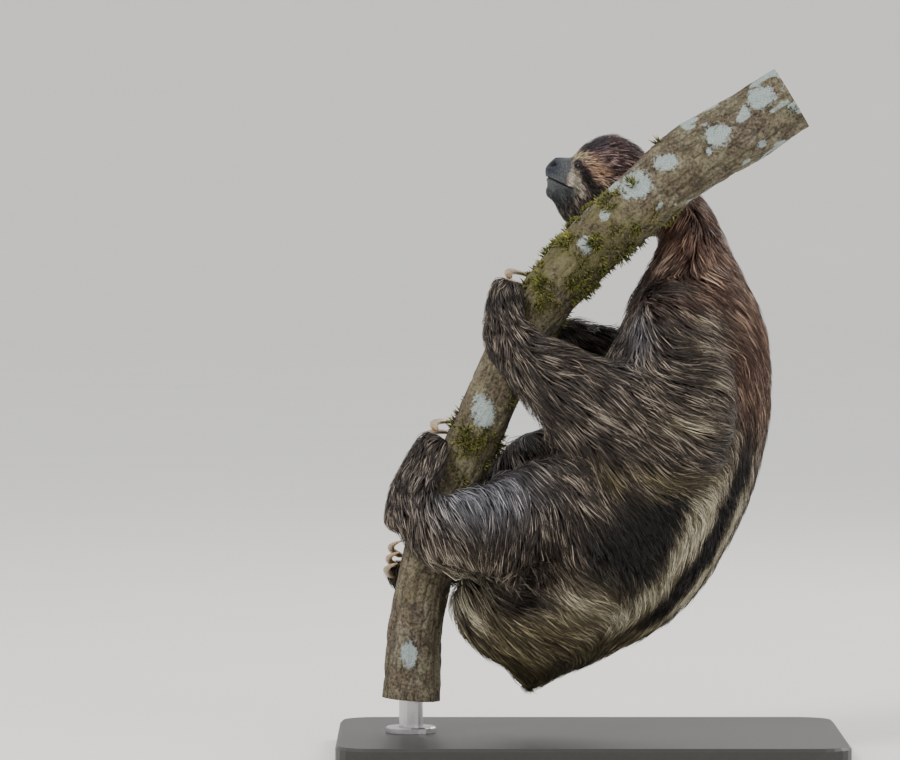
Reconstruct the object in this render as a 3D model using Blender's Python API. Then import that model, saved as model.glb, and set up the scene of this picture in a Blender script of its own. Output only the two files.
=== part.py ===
"""Three-toed sloth, life size, as a still museum model: it clings to a leaning cut of tree trunk on a stand.

Metres, +Z up, the floor at Z = 0 and the middle of the base at the origin. The animal faces -X, its left side
is on -Y, and its belly is towards the trunk. The solids reach to the tips of the coat.
"""

import math

import bmesh
import bpy
import numpy as np
from mathutils import Matrix, Vector

# ---------------------------------------------------------------- driving sizes
GAP = 0.0003
COVER = 0.0036
VOXEL = 0.0026
BODY_FACES = 2200
FLAT_ANGLE = 2.5
SHARP_ANGLE = 42.0
CUT_REACH = 0.30

BASE_LENGTH = 0.420
BASE_DEPTH = 0.290
BASE_THICK = 0.018
BASE_CORNER = 0.030
BASE_EDGE = 0.0025
ROD_RADIUS = 0.010
COLLAR_RADIUS = 0.021
COLLAR_THICK = 0.005
COLLAR_BEVEL = 0.001
ROD_SOCKET = 0.024
BORE_OVERRUN = 0.02

PERCH_BOTTOM = 0.046
CLAW_ROOT_RADIUS = 0.0043
CLAW_TIP_RADIUS = 0.0009
CLAW_SPACING = 0.0095
CLAW_DRIFT = 0.016
CLAW_POINTS = 7
CLAW_TAPER = 1.6
CLAW_ARCH = 0.0135
CLAW_STAND_OFF = 0.0028
CLAW_FLATNESS = 0.72
EYE_RADIUS = 0.0052
NOSTRIL_RADIUS = 0.0017
NOSTRIL_DEPTH = 0.0027

HEAD_MIDDLE = 0.053

NEAR = -1.0
FAR = 1.0


class Ring:
    """One cross-section of a tapering body: its middle, its half width across and its half depth."""

    def __init__(self, x, y, z, across, deep):
        self.values = np.array([x, y, z, across, deep])


# ---------------------------------------------------------------- perch
# Each ring is named for its place up the trunk. The trunk leans, then bends over into a branch.
PERCH = {
    "lower_cut": Ring(-0.149, 0.000, PERCH_BOTTOM, 0.0245, 0.0240),
    "below_feet": Ring(-0.144, 0.000, 0.112, 0.0235, 0.0230),
    "at_feet": Ring(-0.128, 0.000, 0.187, 0.0240, 0.0235),
    "between": Ring(-0.092, 0.000, 0.270, 0.0225, 0.0225),
    "at_hands": Ring(-0.050, 0.000, 0.361, 0.0230, 0.0235),
    "bend": Ring(0.008, -0.003, 0.429, 0.0250, 0.0255),
    "under_chin": Ring(0.050, -0.007, 0.467, 0.0265, 0.0270),
    "over_nape": Ring(0.091, -0.010, 0.498, 0.0275, 0.0285),
    "branch": Ring(0.133, -0.012, 0.525, 0.0270, 0.0280),
    "upper_cut": Ring(0.166, -0.013, 0.545, 0.0265, 0.0270),
}

# ---------------------------------------------------------------- trunk of the body, from rump to throat
SPINE = {
    "fringe_end": Ring(-0.117, -0.016, 0.149, 0.012, 0.016),
    "fringe": Ring(-0.097, -0.010, 0.138, 0.028, 0.034),
    "rump": Ring(-0.072, 0.002, 0.118, 0.046, 0.043),
    "pelvis": Ring(-0.043, 0.008, 0.113, 0.059, 0.052),
    "loin": Ring(-0.012, 0.008, 0.132, 0.066, 0.061),
    "belly": Ring(0.020, 0.008, 0.161, 0.071, 0.072),
    "waist": Ring(0.045, 0.008, 0.200, 0.074, 0.077),
    "ribs": Ring(0.063, 0.008, 0.245, 0.076, 0.079),
    "chest": Ring(0.076, 0.008, 0.292, 0.076, 0.077),
    "shoulders": Ring(0.085, 0.009, 0.337, 0.073, 0.068),
    "withers": Ring(0.086, 0.012, 0.372, 0.062, 0.056),
    "neck_root": Ring(0.085, 0.020, 0.400, 0.048, 0.042),
    "neck": Ring(0.085, 0.034, 0.425, 0.037, 0.030),
    "nape": Ring(0.078, 0.053, 0.447, 0.036, 0.026),
    "neck_turn": Ring(0.059, 0.061, 0.460, 0.037, 0.031),
    "skull_root": Ring(0.036, 0.059, 0.465, 0.038, 0.036),
    "throat": Ring(0.012, HEAD_MIDDLE, 0.464, 0.033, 0.037),
    "throat_front": Ring(-0.009, HEAD_MIDDLE, 0.458, 0.020, 0.026),
    "throat_tuft": Ring(-0.020, HEAD_MIDDLE, 0.456, 0.016, 0.021),
    "throat_end": Ring(-0.0275, HEAD_MIDDLE, 0.453, 0.009, 0.013),
}

MUZZLE = {
    "root": Ring(0.004, HEAD_MIDDLE, 0.4800, 0.0240, 0.0200),
    "cheek": Ring(-0.008, HEAD_MIDDLE, 0.4792, 0.0215, 0.0195),
    "bridge": Ring(-0.019, HEAD_MIDDLE, 0.4785, 0.0180, 0.0190),
    "nose": Ring(-0.0275, HEAD_MIDDLE, 0.4785, 0.0155, 0.0175),
    "lips": Ring(-0.0330, HEAD_MIDDLE, 0.4775, 0.0115, 0.0130),
    "front": Ring(-0.0358, HEAD_MIDDLE, 0.4765, 0.0050, 0.0060),
}

# Rounded forms joined to the body: middle, then half sizes along X, Y and Z.
MOUNDS = {
    "cranium": ((0.0185, HEAD_MIDDLE, 0.4815), (0.0360, 0.0350, 0.0325)),
    "brow": ((0.0010, HEAD_MIDDLE, 0.4985), (0.0120, 0.0230, 0.0110)),
    "cheek_near": ((0.0110, HEAD_MIDDLE - 0.017, 0.4690), (0.0190, 0.0160, 0.0180)),
    "cheek_far": ((0.0110, HEAD_MIDDLE + 0.017, 0.4690), (0.0190, 0.0160, 0.0180)),
    "chin": ((-0.0255, HEAD_MIDDLE, 0.4675), (0.0120, 0.0140, 0.0100)),
    "nose_pad": ((-0.0250, HEAD_MIDDLE, 0.4895), (0.0082, 0.0105, 0.0080)),
    "lower_tuft": ((-0.0420, 0.006, 0.0780), (0.0240, 0.0280, 0.0230)),
}

TAIL = {
    "root": Ring(-0.046, 0.006, 0.094, 0.022, 0.020),
    "middle": Ring(-0.053, 0.006, 0.076, 0.019, 0.017),
    "tip": Ring(-0.058, 0.006, 0.061, 0.013, 0.012),
    "end": Ring(-0.060, 0.006, 0.056, 0.006, 0.005),
}

# ---------------------------------------------------------------- left limbs, which pass in front of the trunk
LEFT_UPPER_ARM = {
    "shoulder_top": Ring(0.066, -0.026, 0.388, 0.020, 0.020),
    "shoulder": Ring(0.067, -0.038, 0.368, 0.034, 0.036),
    "biceps": Ring(0.070, -0.052, 0.335, 0.035, 0.043),
    "above_elbow": Ring(0.074, -0.060, 0.298, 0.032, 0.046),
    "elbow": Ring(0.077, -0.063, 0.262, 0.026, 0.040),
    "end": Ring(0.077, -0.062, 0.236, 0.010, 0.016),
}
LEFT_FOREARM = {
    "elbow_end": Ring(0.107, -0.058, 0.243, 0.009, 0.014),
    "elbow": Ring(0.085, -0.064, 0.253, 0.023, 0.041),
    "fringe": Ring(0.055, -0.068, 0.263, 0.027, 0.053),
    "ulna": Ring(0.024, -0.066, 0.277, 0.028, 0.055),
    "middle": Ring(-0.002, -0.060, 0.291, 0.027, 0.048),
    "lower": Ring(-0.023, -0.055, 0.306, 0.025, 0.040),
    "above_wrist": Ring(-0.041, -0.051, 0.321, 0.022, 0.034),
    "wrist": Ring(-0.058, -0.046, 0.336, 0.019, 0.030),
    "wrist_end": Ring(-0.071, -0.039, 0.349, 0.016, 0.021),
}
LEFT_HAND = {
    "wrist": Ring(-0.0660, -0.041, 0.333, 0.015, 0.0210),
    "heel": Ring(-0.0715, -0.037, 0.350, 0.016, 0.0205),
    "palm": Ring(-0.0720, -0.031, 0.370, 0.0145, 0.0180),
    "knuckles": Ring(-0.0700, -0.027, 0.385, 0.0135, 0.0170),
    "end": Ring(-0.0668, -0.0235, 0.3975, 0.0095, 0.0140),
}
LEFT_THIGH = {
    "hip_end": Ring(0.052, -0.026, 0.143, 0.014, 0.016),
    "hip": Ring(0.036, -0.038, 0.157, 0.030, 0.038),
    "thigh": Ring(0.010, -0.052, 0.182, 0.034, 0.043),
    "above_knee": Ring(-0.012, -0.060, 0.205, 0.031, 0.042),
    "knee": Ring(-0.026, -0.062, 0.224, 0.025, 0.034),
    "knee_end": Ring(-0.033, -0.061, 0.240, 0.012, 0.016),
}
LEFT_SHANK = {
    "knee_end": Ring(-0.004, -0.060, 0.243, 0.008, 0.012),
    "knee": Ring(-0.022, -0.062, 0.229, 0.022, 0.039),
    "calf": Ring(-0.045, -0.060, 0.209, 0.025, 0.047),
    "middle": Ring(-0.075, -0.054, 0.191, 0.024, 0.048),
    "above_ankle": Ring(-0.108, -0.050, 0.187, 0.022, 0.047),
    "ankle": Ring(-0.135, -0.045, 0.193, 0.019, 0.036),
    "heel": Ring(-0.154, -0.036, 0.197, 0.014, 0.023),
    "heel_end": Ring(-0.166, -0.031, 0.196, 0.006, 0.011),
}
LEFT_FOOT = {
    "heel": Ring(-0.156, -0.033, 0.188, 0.0145, 0.0185),
    "sole": Ring(-0.151, -0.030, 0.212, 0.0160, 0.0200),
    "arch": Ring(-0.141, -0.026, 0.236, 0.0150, 0.0190),
    "toes": Ring(-0.1310, -0.026, 0.256, 0.0135, 0.0170),
    "end": Ring(-0.1268, -0.0235, 0.2690, 0.0095, 0.0140),
}

# ---------------------------------------------------------------- right limbs, which pass behind the trunk
RIGHT_UPPER_ARM = {
    "shoulder_top": Ring(0.064, 0.044, 0.388, 0.020, 0.020),
    "shoulder": Ring(0.063, 0.055, 0.366, 0.034, 0.036),
    "biceps": Ring(0.060, 0.068, 0.335, 0.035, 0.042),
    "above_elbow": Ring(0.056, 0.077, 0.302, 0.031, 0.043),
    "elbow": Ring(0.053, 0.080, 0.272, 0.025, 0.037),
    "end": Ring(0.052, 0.079, 0.248, 0.010, 0.015),
}
RIGHT_FOREARM = {
    "elbow_end": Ring(0.078, 0.074, 0.252, 0.009, 0.014),
    "elbow": Ring(0.060, 0.080, 0.264, 0.023, 0.038),
    "fringe": Ring(0.041, 0.083, 0.281, 0.027, 0.046),
    "ulna": Ring(0.023, 0.080, 0.302, 0.027, 0.044),
    "middle": Ring(0.007, 0.073, 0.322, 0.025, 0.037),
    "lower": Ring(-0.004, 0.065, 0.336, 0.022, 0.031),
    "wrist": Ring(-0.013, 0.057, 0.345, 0.018, 0.025),
    "wrist_end": Ring(-0.022, 0.052, 0.351, 0.012, 0.016),
}
RIGHT_HAND = {
    "wrist": Ring(-0.0060, 0.0560, 0.3390, 0.0150, 0.0180),
    "heel": Ring(-0.0160, 0.0530, 0.3420, 0.0160, 0.0200),
    "palm": Ring(-0.0300, 0.0480, 0.3430, 0.0145, 0.0195),
    "knuckles": Ring(-0.0430, 0.0440, 0.3430, 0.0125, 0.0175),
    "end": Ring(-0.0520, 0.0420, 0.3440, 0.0075, 0.0135),
}
RIGHT_THIGH = {
    "hip_end": Ring(0.050, 0.042, 0.142, 0.014, 0.016),
    "hip": Ring(0.034, 0.054, 0.157, 0.030, 0.036),
    "thigh": Ring(0.010, 0.068, 0.184, 0.034, 0.041),
    "above_knee": Ring(-0.013, 0.076, 0.212, 0.031, 0.039),
    "knee": Ring(-0.030, 0.079, 0.236, 0.025, 0.032),
    "knee_end": Ring(-0.038, 0.078, 0.252, 0.012, 0.015),
}
RIGHT_SHANK = {
    "knee_end": Ring(-0.016, 0.076, 0.266, 0.008, 0.012),
    "knee": Ring(-0.032, 0.078, 0.251, 0.022, 0.034),
    "calf": Ring(-0.053, 0.074, 0.227, 0.025, 0.040),
    "middle": Ring(-0.077, 0.065, 0.201, 0.024, 0.038),
    "above_ankle": Ring(-0.101, 0.056, 0.178, 0.021, 0.032),
    "ankle": Ring(-0.121, 0.049, 0.160, 0.018, 0.026),
    "heel": Ring(-0.134, 0.044, 0.148, 0.013, 0.019),
    "heel_end": Ring(-0.142, 0.041, 0.141, 0.006, 0.010),
}
RIGHT_FOOT = {
    "heel": Ring(-0.1290, 0.0450, 0.1350, 0.0145, 0.0180),
    "sole": Ring(-0.1400, 0.0430, 0.1390, 0.0155, 0.0195),
    "arch": Ring(-0.1510, 0.0395, 0.1460, 0.0140, 0.0185),
    "toes": Ring(-0.1590, 0.0350, 0.1540, 0.0120, 0.0165),
    "end": Ring(-0.1625, 0.0320, 0.1600, 0.0075, 0.0130),
}

# Planes that part the long body: a point on the plane, its normal towards the part named first.
HEAD_PLANE = ((0.040, 0.058, 0.463), (-0.93, 0.0, 0.37))
NECK_PLANE = ((0.086, 0.018, 0.392), (-0.10, 0.25, 0.96))
THORAX_PLANE = ((0.050, 0.008, 0.226), (0.38, 0.0, 0.92))
MOUTH_FRONT = (-0.0330, HEAD_MIDDLE, 0.4790)
MOUTH_CORNER = (-0.0125, HEAD_MIDDLE, 0.4690)
JAW_BLOCK = (0.045, 0.060, 0.024)

EYE_PLACE = (-0.0090, HEAD_MIDDLE, 0.4880)
EYE_ACROSS = 0.0181
NOSTRIL_PLACE = (-0.0318, HEAD_MIDDLE, 0.4915)
NOSTRIL_ACROSS = 0.0052

# Where each foot's claws leave the toes and end, as degrees round the perch: 0 faces -Y, 90 the upper left
# side and 180 faces +Y. The last figure is how far up the perch the middle claw's root stands.
GRIPS = {
    "left_hand": (54.0, 180.0, 0.368),
    "right_hand": (196.0, 84.0, 0.346),
    "left_foot": (52.0, 178.0, 0.250),
    "right_foot": (150.0, 60.0, 0.149),
}


# ---------------------------------------------------------------- building blocks
def smooth_values(rows, count):
    """Catmull-Rom through the rows, spaced evenly by row number."""
    rows = np.asarray(rows, dtype=float)
    padded = np.vstack([2 * rows[0] - rows[1], rows, 2 * rows[-1] - rows[-2]])
    found = []
    for place in np.linspace(0.0, len(rows) - 1.0, count):
        step = min(int(place), len(rows) - 2)
        t = place - step
        a, b, c, d = padded[step : step + 4]
        curve = 2 * b + (c - a) * t + (2 * a - 5 * b + 4 * c - d) * t**2
        found.append((curve + (3 * b - a - 3 * c + d) * t**3) / 2)
    return np.array(found)


def unit(vector):
    return vector / np.linalg.norm(vector)


def new_object(name, mesh):
    found = bpy.data.objects.new(name, mesh)
    bpy.context.scene.collection.objects.link(found)
    return found


def mesh_from(name, corners, faces):
    mesh = bpy.data.meshes.new(name)
    mesh.from_pydata([tuple(map(float, c)) for c in corners], [], faces)
    mesh.update()
    return mesh


def tube_faces(rows, around):
    """Triangles of a tube of rings, closed by a cap at each end."""
    faces = [(0, k + 1, k) for k in range(1, around - 1)]
    for row in range(rows - 1):
        for k in range(around):
            low, high, following = row * around, (row + 1) * around, (k + 1) % around
            faces.append((low + k, low + following, high + following))
            faces.append((low + k, high + following, high + k))
    last = (rows - 1) * around
    faces += [(last, last + k, last + k + 1) for k in range(1, around - 1)]
    return faces


def frames_along(path):
    """Tangent, sideways and depth direction at each point of a path; sideways stays nearest to Y."""
    tangents = np.gradient(path, axis=0)
    result = []
    for tangent in tangents:
        t = unit(tangent)
        side = unit(np.array([0.0, 1.0, 0.0]) - t * t[1])
        result.append((t, side, np.cross(side, t)))
    return result


def loft(name, rings, rows=18, segments=18, grow=0.0, bumps=None):
    """A closed tapering body through named rings. grow swells it on every side."""
    values = smooth_values([ring.values for ring in rings.values()], rows)
    frames = frames_along(values[:, :3])
    values[0, :3] -= frames[0][0] * grow
    values[-1, :3] += frames[-1][0] * grow
    corners = []
    for row, (_, side, deep) in enumerate(frames):
        middle, across, depth = values[row, :3], values[row, 3] + grow, values[row, 4] + grow
        for k in range(segments):
            turn = 2 * math.pi * k / segments
            swell = bumps(row / (rows - 1), turn) if bumps else 0.0
            corners.append(
                middle
                + side * (across + swell) * math.cos(turn)
                + deep * (depth + swell) * math.sin(turn)
            )
    made = new_object(name, mesh_from(name, corners, tube_faces(rows, segments)))
    face_outwards(made)
    return made


def face_outwards(thing):
    shape = bmesh.new()
    shape.from_mesh(thing.data)
    bmesh.ops.recalc_face_normals(shape, faces=shape.faces[:])
    shape.to_mesh(thing.data)
    shape.free()


def ball(name, middle, halves, divisions=3):
    shape = bmesh.new()
    bmesh.ops.create_icosphere(shape, subdivisions=divisions, radius=1.0)
    bmesh.ops.scale(shape, vec=Vector(halves), verts=shape.verts)
    bmesh.ops.translate(shape, vec=Vector(middle), verts=shape.verts)
    mesh = bpy.data.meshes.new(name)
    shape.to_mesh(mesh)
    shape.free()
    return new_object(name, mesh)


def block(name, point, normal, size):
    """A box whose face lies in the plane through point, reaching away from it along normal."""
    shape = bmesh.new()
    bmesh.ops.create_cube(shape, size=1.0)
    turn = Vector((0.0, 0.0, 1.0)).rotation_difference(Vector(normal)).to_matrix().to_4x4()
    move = Matrix.Translation(Vector(point)) @ turn @ Matrix.Translation((0.0, 0.0, size[2] / 2))
    bmesh.ops.transform(shape, matrix=move @ Matrix.Diagonal((*size, 1.0)), verts=shape.verts)
    mesh = bpy.data.meshes.new(name)
    shape.to_mesh(mesh)
    shape.free()
    return new_object(name, mesh)


def remove(thing):
    mesh = thing.data
    bpy.data.objects.remove(thing, do_unlink=True)
    bpy.data.meshes.remove(mesh)


def copy_of(thing, name):
    return new_object(name, thing.data.copy())


def settle(thing):
    """Replace the mesh by the one its modifiers make."""
    graph = bpy.context.evaluated_depsgraph_get()
    made = bpy.data.meshes.new_from_object(thing.evaluated_get(graph))
    old = thing.data
    thing.modifiers.clear()
    thing.data = made
    bpy.data.meshes.remove(old)


def combine(thing, other, operation):
    """An exact Boolean that keeps the other body for further use."""
    step = thing.modifiers.new("step", "BOOLEAN")
    step.operation = operation
    step.solver = "EXACT"
    step.object = other
    bpy.context.view_layer.update()
    settle(thing)


def keep_largest(thing):
    """Drop loose crumbs that a cut leaves, so that the piece is one closed body."""
    shape = bmesh.new()
    shape.from_mesh(thing.data)
    left = set(shape.faces)
    islands = []
    while left:
        first = left.pop()
        island = {first}
        edge_of_island = [first]
        while edge_of_island:
            face = edge_of_island.pop()
            for edge in face.edges:
                for neighbour in edge.link_faces:
                    if neighbour in left:
                        left.discard(neighbour)
                        island.add(neighbour)
                        edge_of_island.append(neighbour)
        islands.append(island)
    if len(islands) > 1:
        islands.sort(key=lambda part: sum(face.calc_area() for face in part))
        crumbs = [face for part in islands[:-1] for face in part]
        bmesh.ops.delete(shape, geom=crumbs, context="FACES")
        loose = [vert for vert in shape.verts if not vert.link_faces]
        bmesh.ops.delete(shape, geom=loose, context="VERTS")
    bmesh.ops.triangulate(shape, faces=shape.faces[:])
    shape.to_mesh(thing.data)
    shape.free()


def join(name, things):
    """One mesh out of several overlapping bodies."""
    corners, faces = [], []
    for thing in things:
        start = len(corners)
        corners += [tuple(vert.co) for vert in thing.data.vertices]
        faces += [tuple(start + k for k in face.vertices) for face in thing.data.polygons]
        remove(thing)
    return new_object(name, mesh_from(name, corners, faces))


def part_off(rest, name, rings, rows=7):
    """Take the stretch of the body inside the rings' loft, leaving a thin gap round it."""
    taker = loft(name + "_taker", rings, rows=rows, segments=10, grow=COVER)
    piece = copy_of(rest, name)
    combine(piece, taker, "INTERSECT")
    keep_largest(piece)
    remove(taker)
    cutter = loft(name + "_cutter", rings, rows=rows, segments=10, grow=COVER + GAP)
    combine(rest, cutter, "DIFFERENCE")
    keep_largest(rest)
    remove(cutter)
    return piece


def part_by_plane(rest, name, plane):
    """Take everything on the normal's side of a plane."""
    point, normal = Vector(plane[0]), Vector(plane[1]).normalized()
    size = (CUT_REACH, CUT_REACH, CUT_REACH)
    piece = copy_of(rest, name)
    keeper = block(name + "_keeper", point + normal * GAP / 2, normal, size)
    combine(piece, keeper, "INTERSECT")
    keep_largest(piece)
    remove(keeper)
    cutter = block(name + "_cutter", point - normal * GAP / 2, normal, size)
    combine(rest, cutter, "DIFFERENCE")
    keep_largest(rest)
    remove(cutter)
    return piece


def jaw_block(grow):
    """The block that holds the lower jaw: under the mouth's line and in front of the mouth's corner."""
    forward = (Vector(MOUTH_FRONT) - Vector(MOUTH_CORNER)).normalized()
    down = Vector((0.0, 1.0, 0.0)).cross(forward).normalized()
    if down.z > 0:
        down = -down
    size = Vector(JAW_BLOCK)
    middle = Vector(MOUTH_CORNER) + forward * size.x / 2 + down * size.z / 2
    turn = Matrix((forward, Vector((0.0, 1.0, 0.0)), down)).transposed().to_4x4()
    shape = bmesh.new()
    bmesh.ops.create_cube(shape, size=1.0)
    grown = [side + 2 * grow for side in size]
    place = Matrix.Translation(middle) @ turn @ Matrix.Diagonal((*grown, 1.0))
    bmesh.ops.transform(shape, matrix=place, verts=shape.verts)
    bmesh.ops.recalc_face_normals(shape, faces=shape.faces[:])
    mesh = bpy.data.meshes.new("jaw_block")
    shape.to_mesh(mesh)
    shape.free()
    return new_object("jaw_block", mesh)


def lighten(thing):
    """Merge faces that lie nearly in one plane, such as the slivers beside a cut."""
    shape = bmesh.new()
    shape.from_mesh(thing.data)
    bmesh.ops.dissolve_limit(
        shape, angle_limit=math.radians(FLAT_ANGLE), verts=shape.verts[:], edges=shape.edges[:]
    )
    bmesh.ops.triangulate(shape, faces=shape.faces[:])
    shape.to_mesh(thing.data)
    shape.free()


# ---------------------------------------------------------------- materials
def material(name, colour, roughness, metallic=0.0):
    made = bpy.data.materials.new(name)
    made.use_nodes = True
    shader = made.node_tree.nodes["Principled BSDF"]
    shader.inputs["Base Color"].default_value = (*colour, 1.0)
    shader.inputs["Roughness"].default_value = roughness
    shader.inputs["Metallic"].default_value = metallic
    made.diffuse_color = (*colour, 1.0)
    return made


def finish(thing, made, smooth=True):
    thing.data.materials.clear()
    thing.data.materials.append(made)
    for face in thing.data.polygons:
        face.use_smooth = smooth
        face.material_index = 0
    if smooth:
        thing.data.set_sharp_from_angle(angle=math.radians(SHARP_ANGLE))


# ---------------------------------------------------------------- perch
def bark(up, turn):
    """Gentle swellings of the trunk, 1 to 2 mm high."""
    wave = 0.0010 * math.sin(2 * turn + 5.0 * up)
    knots = 0.0009 * math.sin(3 * turn - 17.0 * up) + 0.0008 * math.sin(29.0 * up + turn)
    return wave + knots


def make_perch(name, grow=0.0):
    return loft(name, PERCH, rows=22, segments=12, grow=grow, bumps=bark)


def perch_axis(height):
    """Middle, direction, and radius of the perch where its middle line reaches a height."""
    values = smooth_values([ring.values for ring in PERCH.values()], 240)
    row = int(np.argmin(abs(values[:, 2] - height)))
    direction = unit(values[row + 1, :3] - values[row - 1, :3])
    return values[row, :3], direction, values[row, 3]


# ---------------------------------------------------------------- claws
def claw_path(grip, finger):
    """Points of one claw, from inside the toe round the bark to its tip."""
    start, end, height = grip
    middle, along, radius = perch_axis(height)
    near = np.array([0.0, -1.0, 0.0])
    upper_left = unit(np.cross(along, near))
    if upper_left[0] > 0:
        upper_left = -upper_left
    middle = middle + along * CLAW_SPACING * finger
    points = []
    for k in range(CLAW_POINTS):
        t = k / (CLAW_POINTS - 1)
        turn = math.radians(start + (end - start) * t)
        thick = CLAW_ROOT_RADIUS + (CLAW_TIP_RADIUS - CLAW_ROOT_RADIUS) * t**CLAW_TAPER
        lift = CLAW_ARCH * (1 - t) ** 2 + CLAW_STAND_OFF + thick
        out = near * math.cos(turn) + upper_left * math.sin(turn)
        points.append((middle + out * (radius + lift) + along * CLAW_DRIFT * t, thick))
    return points


def claw(name, grip, finger, grow=0.0):
    rings = {}
    for k, (place, thick) in enumerate(claw_path(grip, finger)):
        rings[k] = Ring(*place, thick * CLAW_FLATNESS, thick)
    values = [ring.values for ring in rings.values()]
    path = np.array([value[:3] for value in values])
    tangents = np.gradient(path, axis=0)
    segments = 6
    corners = []
    for k, value in enumerate(values):
        t = unit(tangents[k])
        other = perch_axis(grip[2])[1]
        side = unit(other - t * np.dot(other, t))
        deep = np.cross(side, t)
        middle = value[:3] + t * grow * (1 if k == len(values) - 1 else -1 if k == 0 else 0)
        for j in range(segments):
            turn = 2 * math.pi * j / segments
            across = side * (value[3] + grow) * math.cos(turn)
            corners.append(middle + across + deep * (value[4] + grow) * math.sin(turn))
    made = new_object(name, mesh_from(name, corners, tube_faces(len(values), segments)))
    face_outwards(made)
    return made


# ---------------------------------------------------------------- stand
def rounded_plate(name, length, depth, thick, corner, edge):
    """A flat plate with round corners and a small chamfer round its top edge."""
    def outline(inset):
        found = []
        for quarter in range(4):
            turn = quarter * math.pi / 2
            sx = 1 if quarter in (0, 3) else -1
            sy = 1 if quarter in (0, 1) else -1
            for k in range(7):
                angle = turn + k / 6 * math.pi / 2
                x = sx * (length / 2 - corner) + math.cos(angle) * (corner - inset)
                y = sy * (depth / 2 - corner) + math.sin(angle) * (corner - inset)
                found.append((x, y))
        return found

    levels = [(0.0, 0.0), (thick - edge, 0.0), (thick, edge)]
    corners = [(x, y, z) for z, inset in levels for x, y in outline(inset)]
    around = len(corners) // len(levels)
    made = new_object(name, mesh_from(name, corners, tube_faces(len(levels), around)))
    face_outwards(made)
    return made


def turned(name, x, y, profile, segments=20):
    """A round body about a vertical line, from pairs of radius and height."""
    corners = []
    for radius, height in profile:
        for k in range(segments):
            turn = 2 * math.pi * k / segments
            corners.append((x + radius * math.cos(turn), y + radius * math.sin(turn), height))
    made = new_object(name, mesh_from(name, corners, tube_faces(len(profile), segments)))
    face_outwards(made)
    return made


# ---------------------------------------------------------------- the whole body, then its parts
def make_body():
    """The animal in one piece: overlapping bodies fused, softened and thinned to a light mesh."""
    pieces = [loft("spine", SPINE, rows=44, segments=28), loft("muzzle", MUZZLE, segments=20)]
    pieces += [ball(name, middle, halves) for name, (middle, halves) in MOUNDS.items()]
    limbs = (TAIL, LEFT_UPPER_ARM, LEFT_FOREARM, LEFT_HAND, LEFT_THIGH, LEFT_SHANK, LEFT_FOOT)
    limbs += (RIGHT_UPPER_ARM, RIGHT_FOREARM, RIGHT_HAND, RIGHT_THIGH, RIGHT_SHANK, RIGHT_FOOT)
    pieces += [loft("limb", rings, rows=20, segments=20) for rings in limbs]
    body = join("body", pieces)
    skin = body.modifiers.new("fuse", "REMESH")
    skin.mode = "VOXEL"
    skin.voxel_size = VOXEL
    soften = body.modifiers.new("soften", "SMOOTH")
    soften.factor = 0.5
    soften.iterations = 5
    bpy.context.view_layer.update()
    settle(body)
    face_outwards(body)
    body.data.calc_loop_triangles()
    thin = body.modifiers.new("thin", "DECIMATE")
    thin.ratio = BODY_FACES / len(body.data.loop_triangles)
    bpy.context.view_layer.update()
    settle(body)
    keep_largest(body)
    return body


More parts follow.
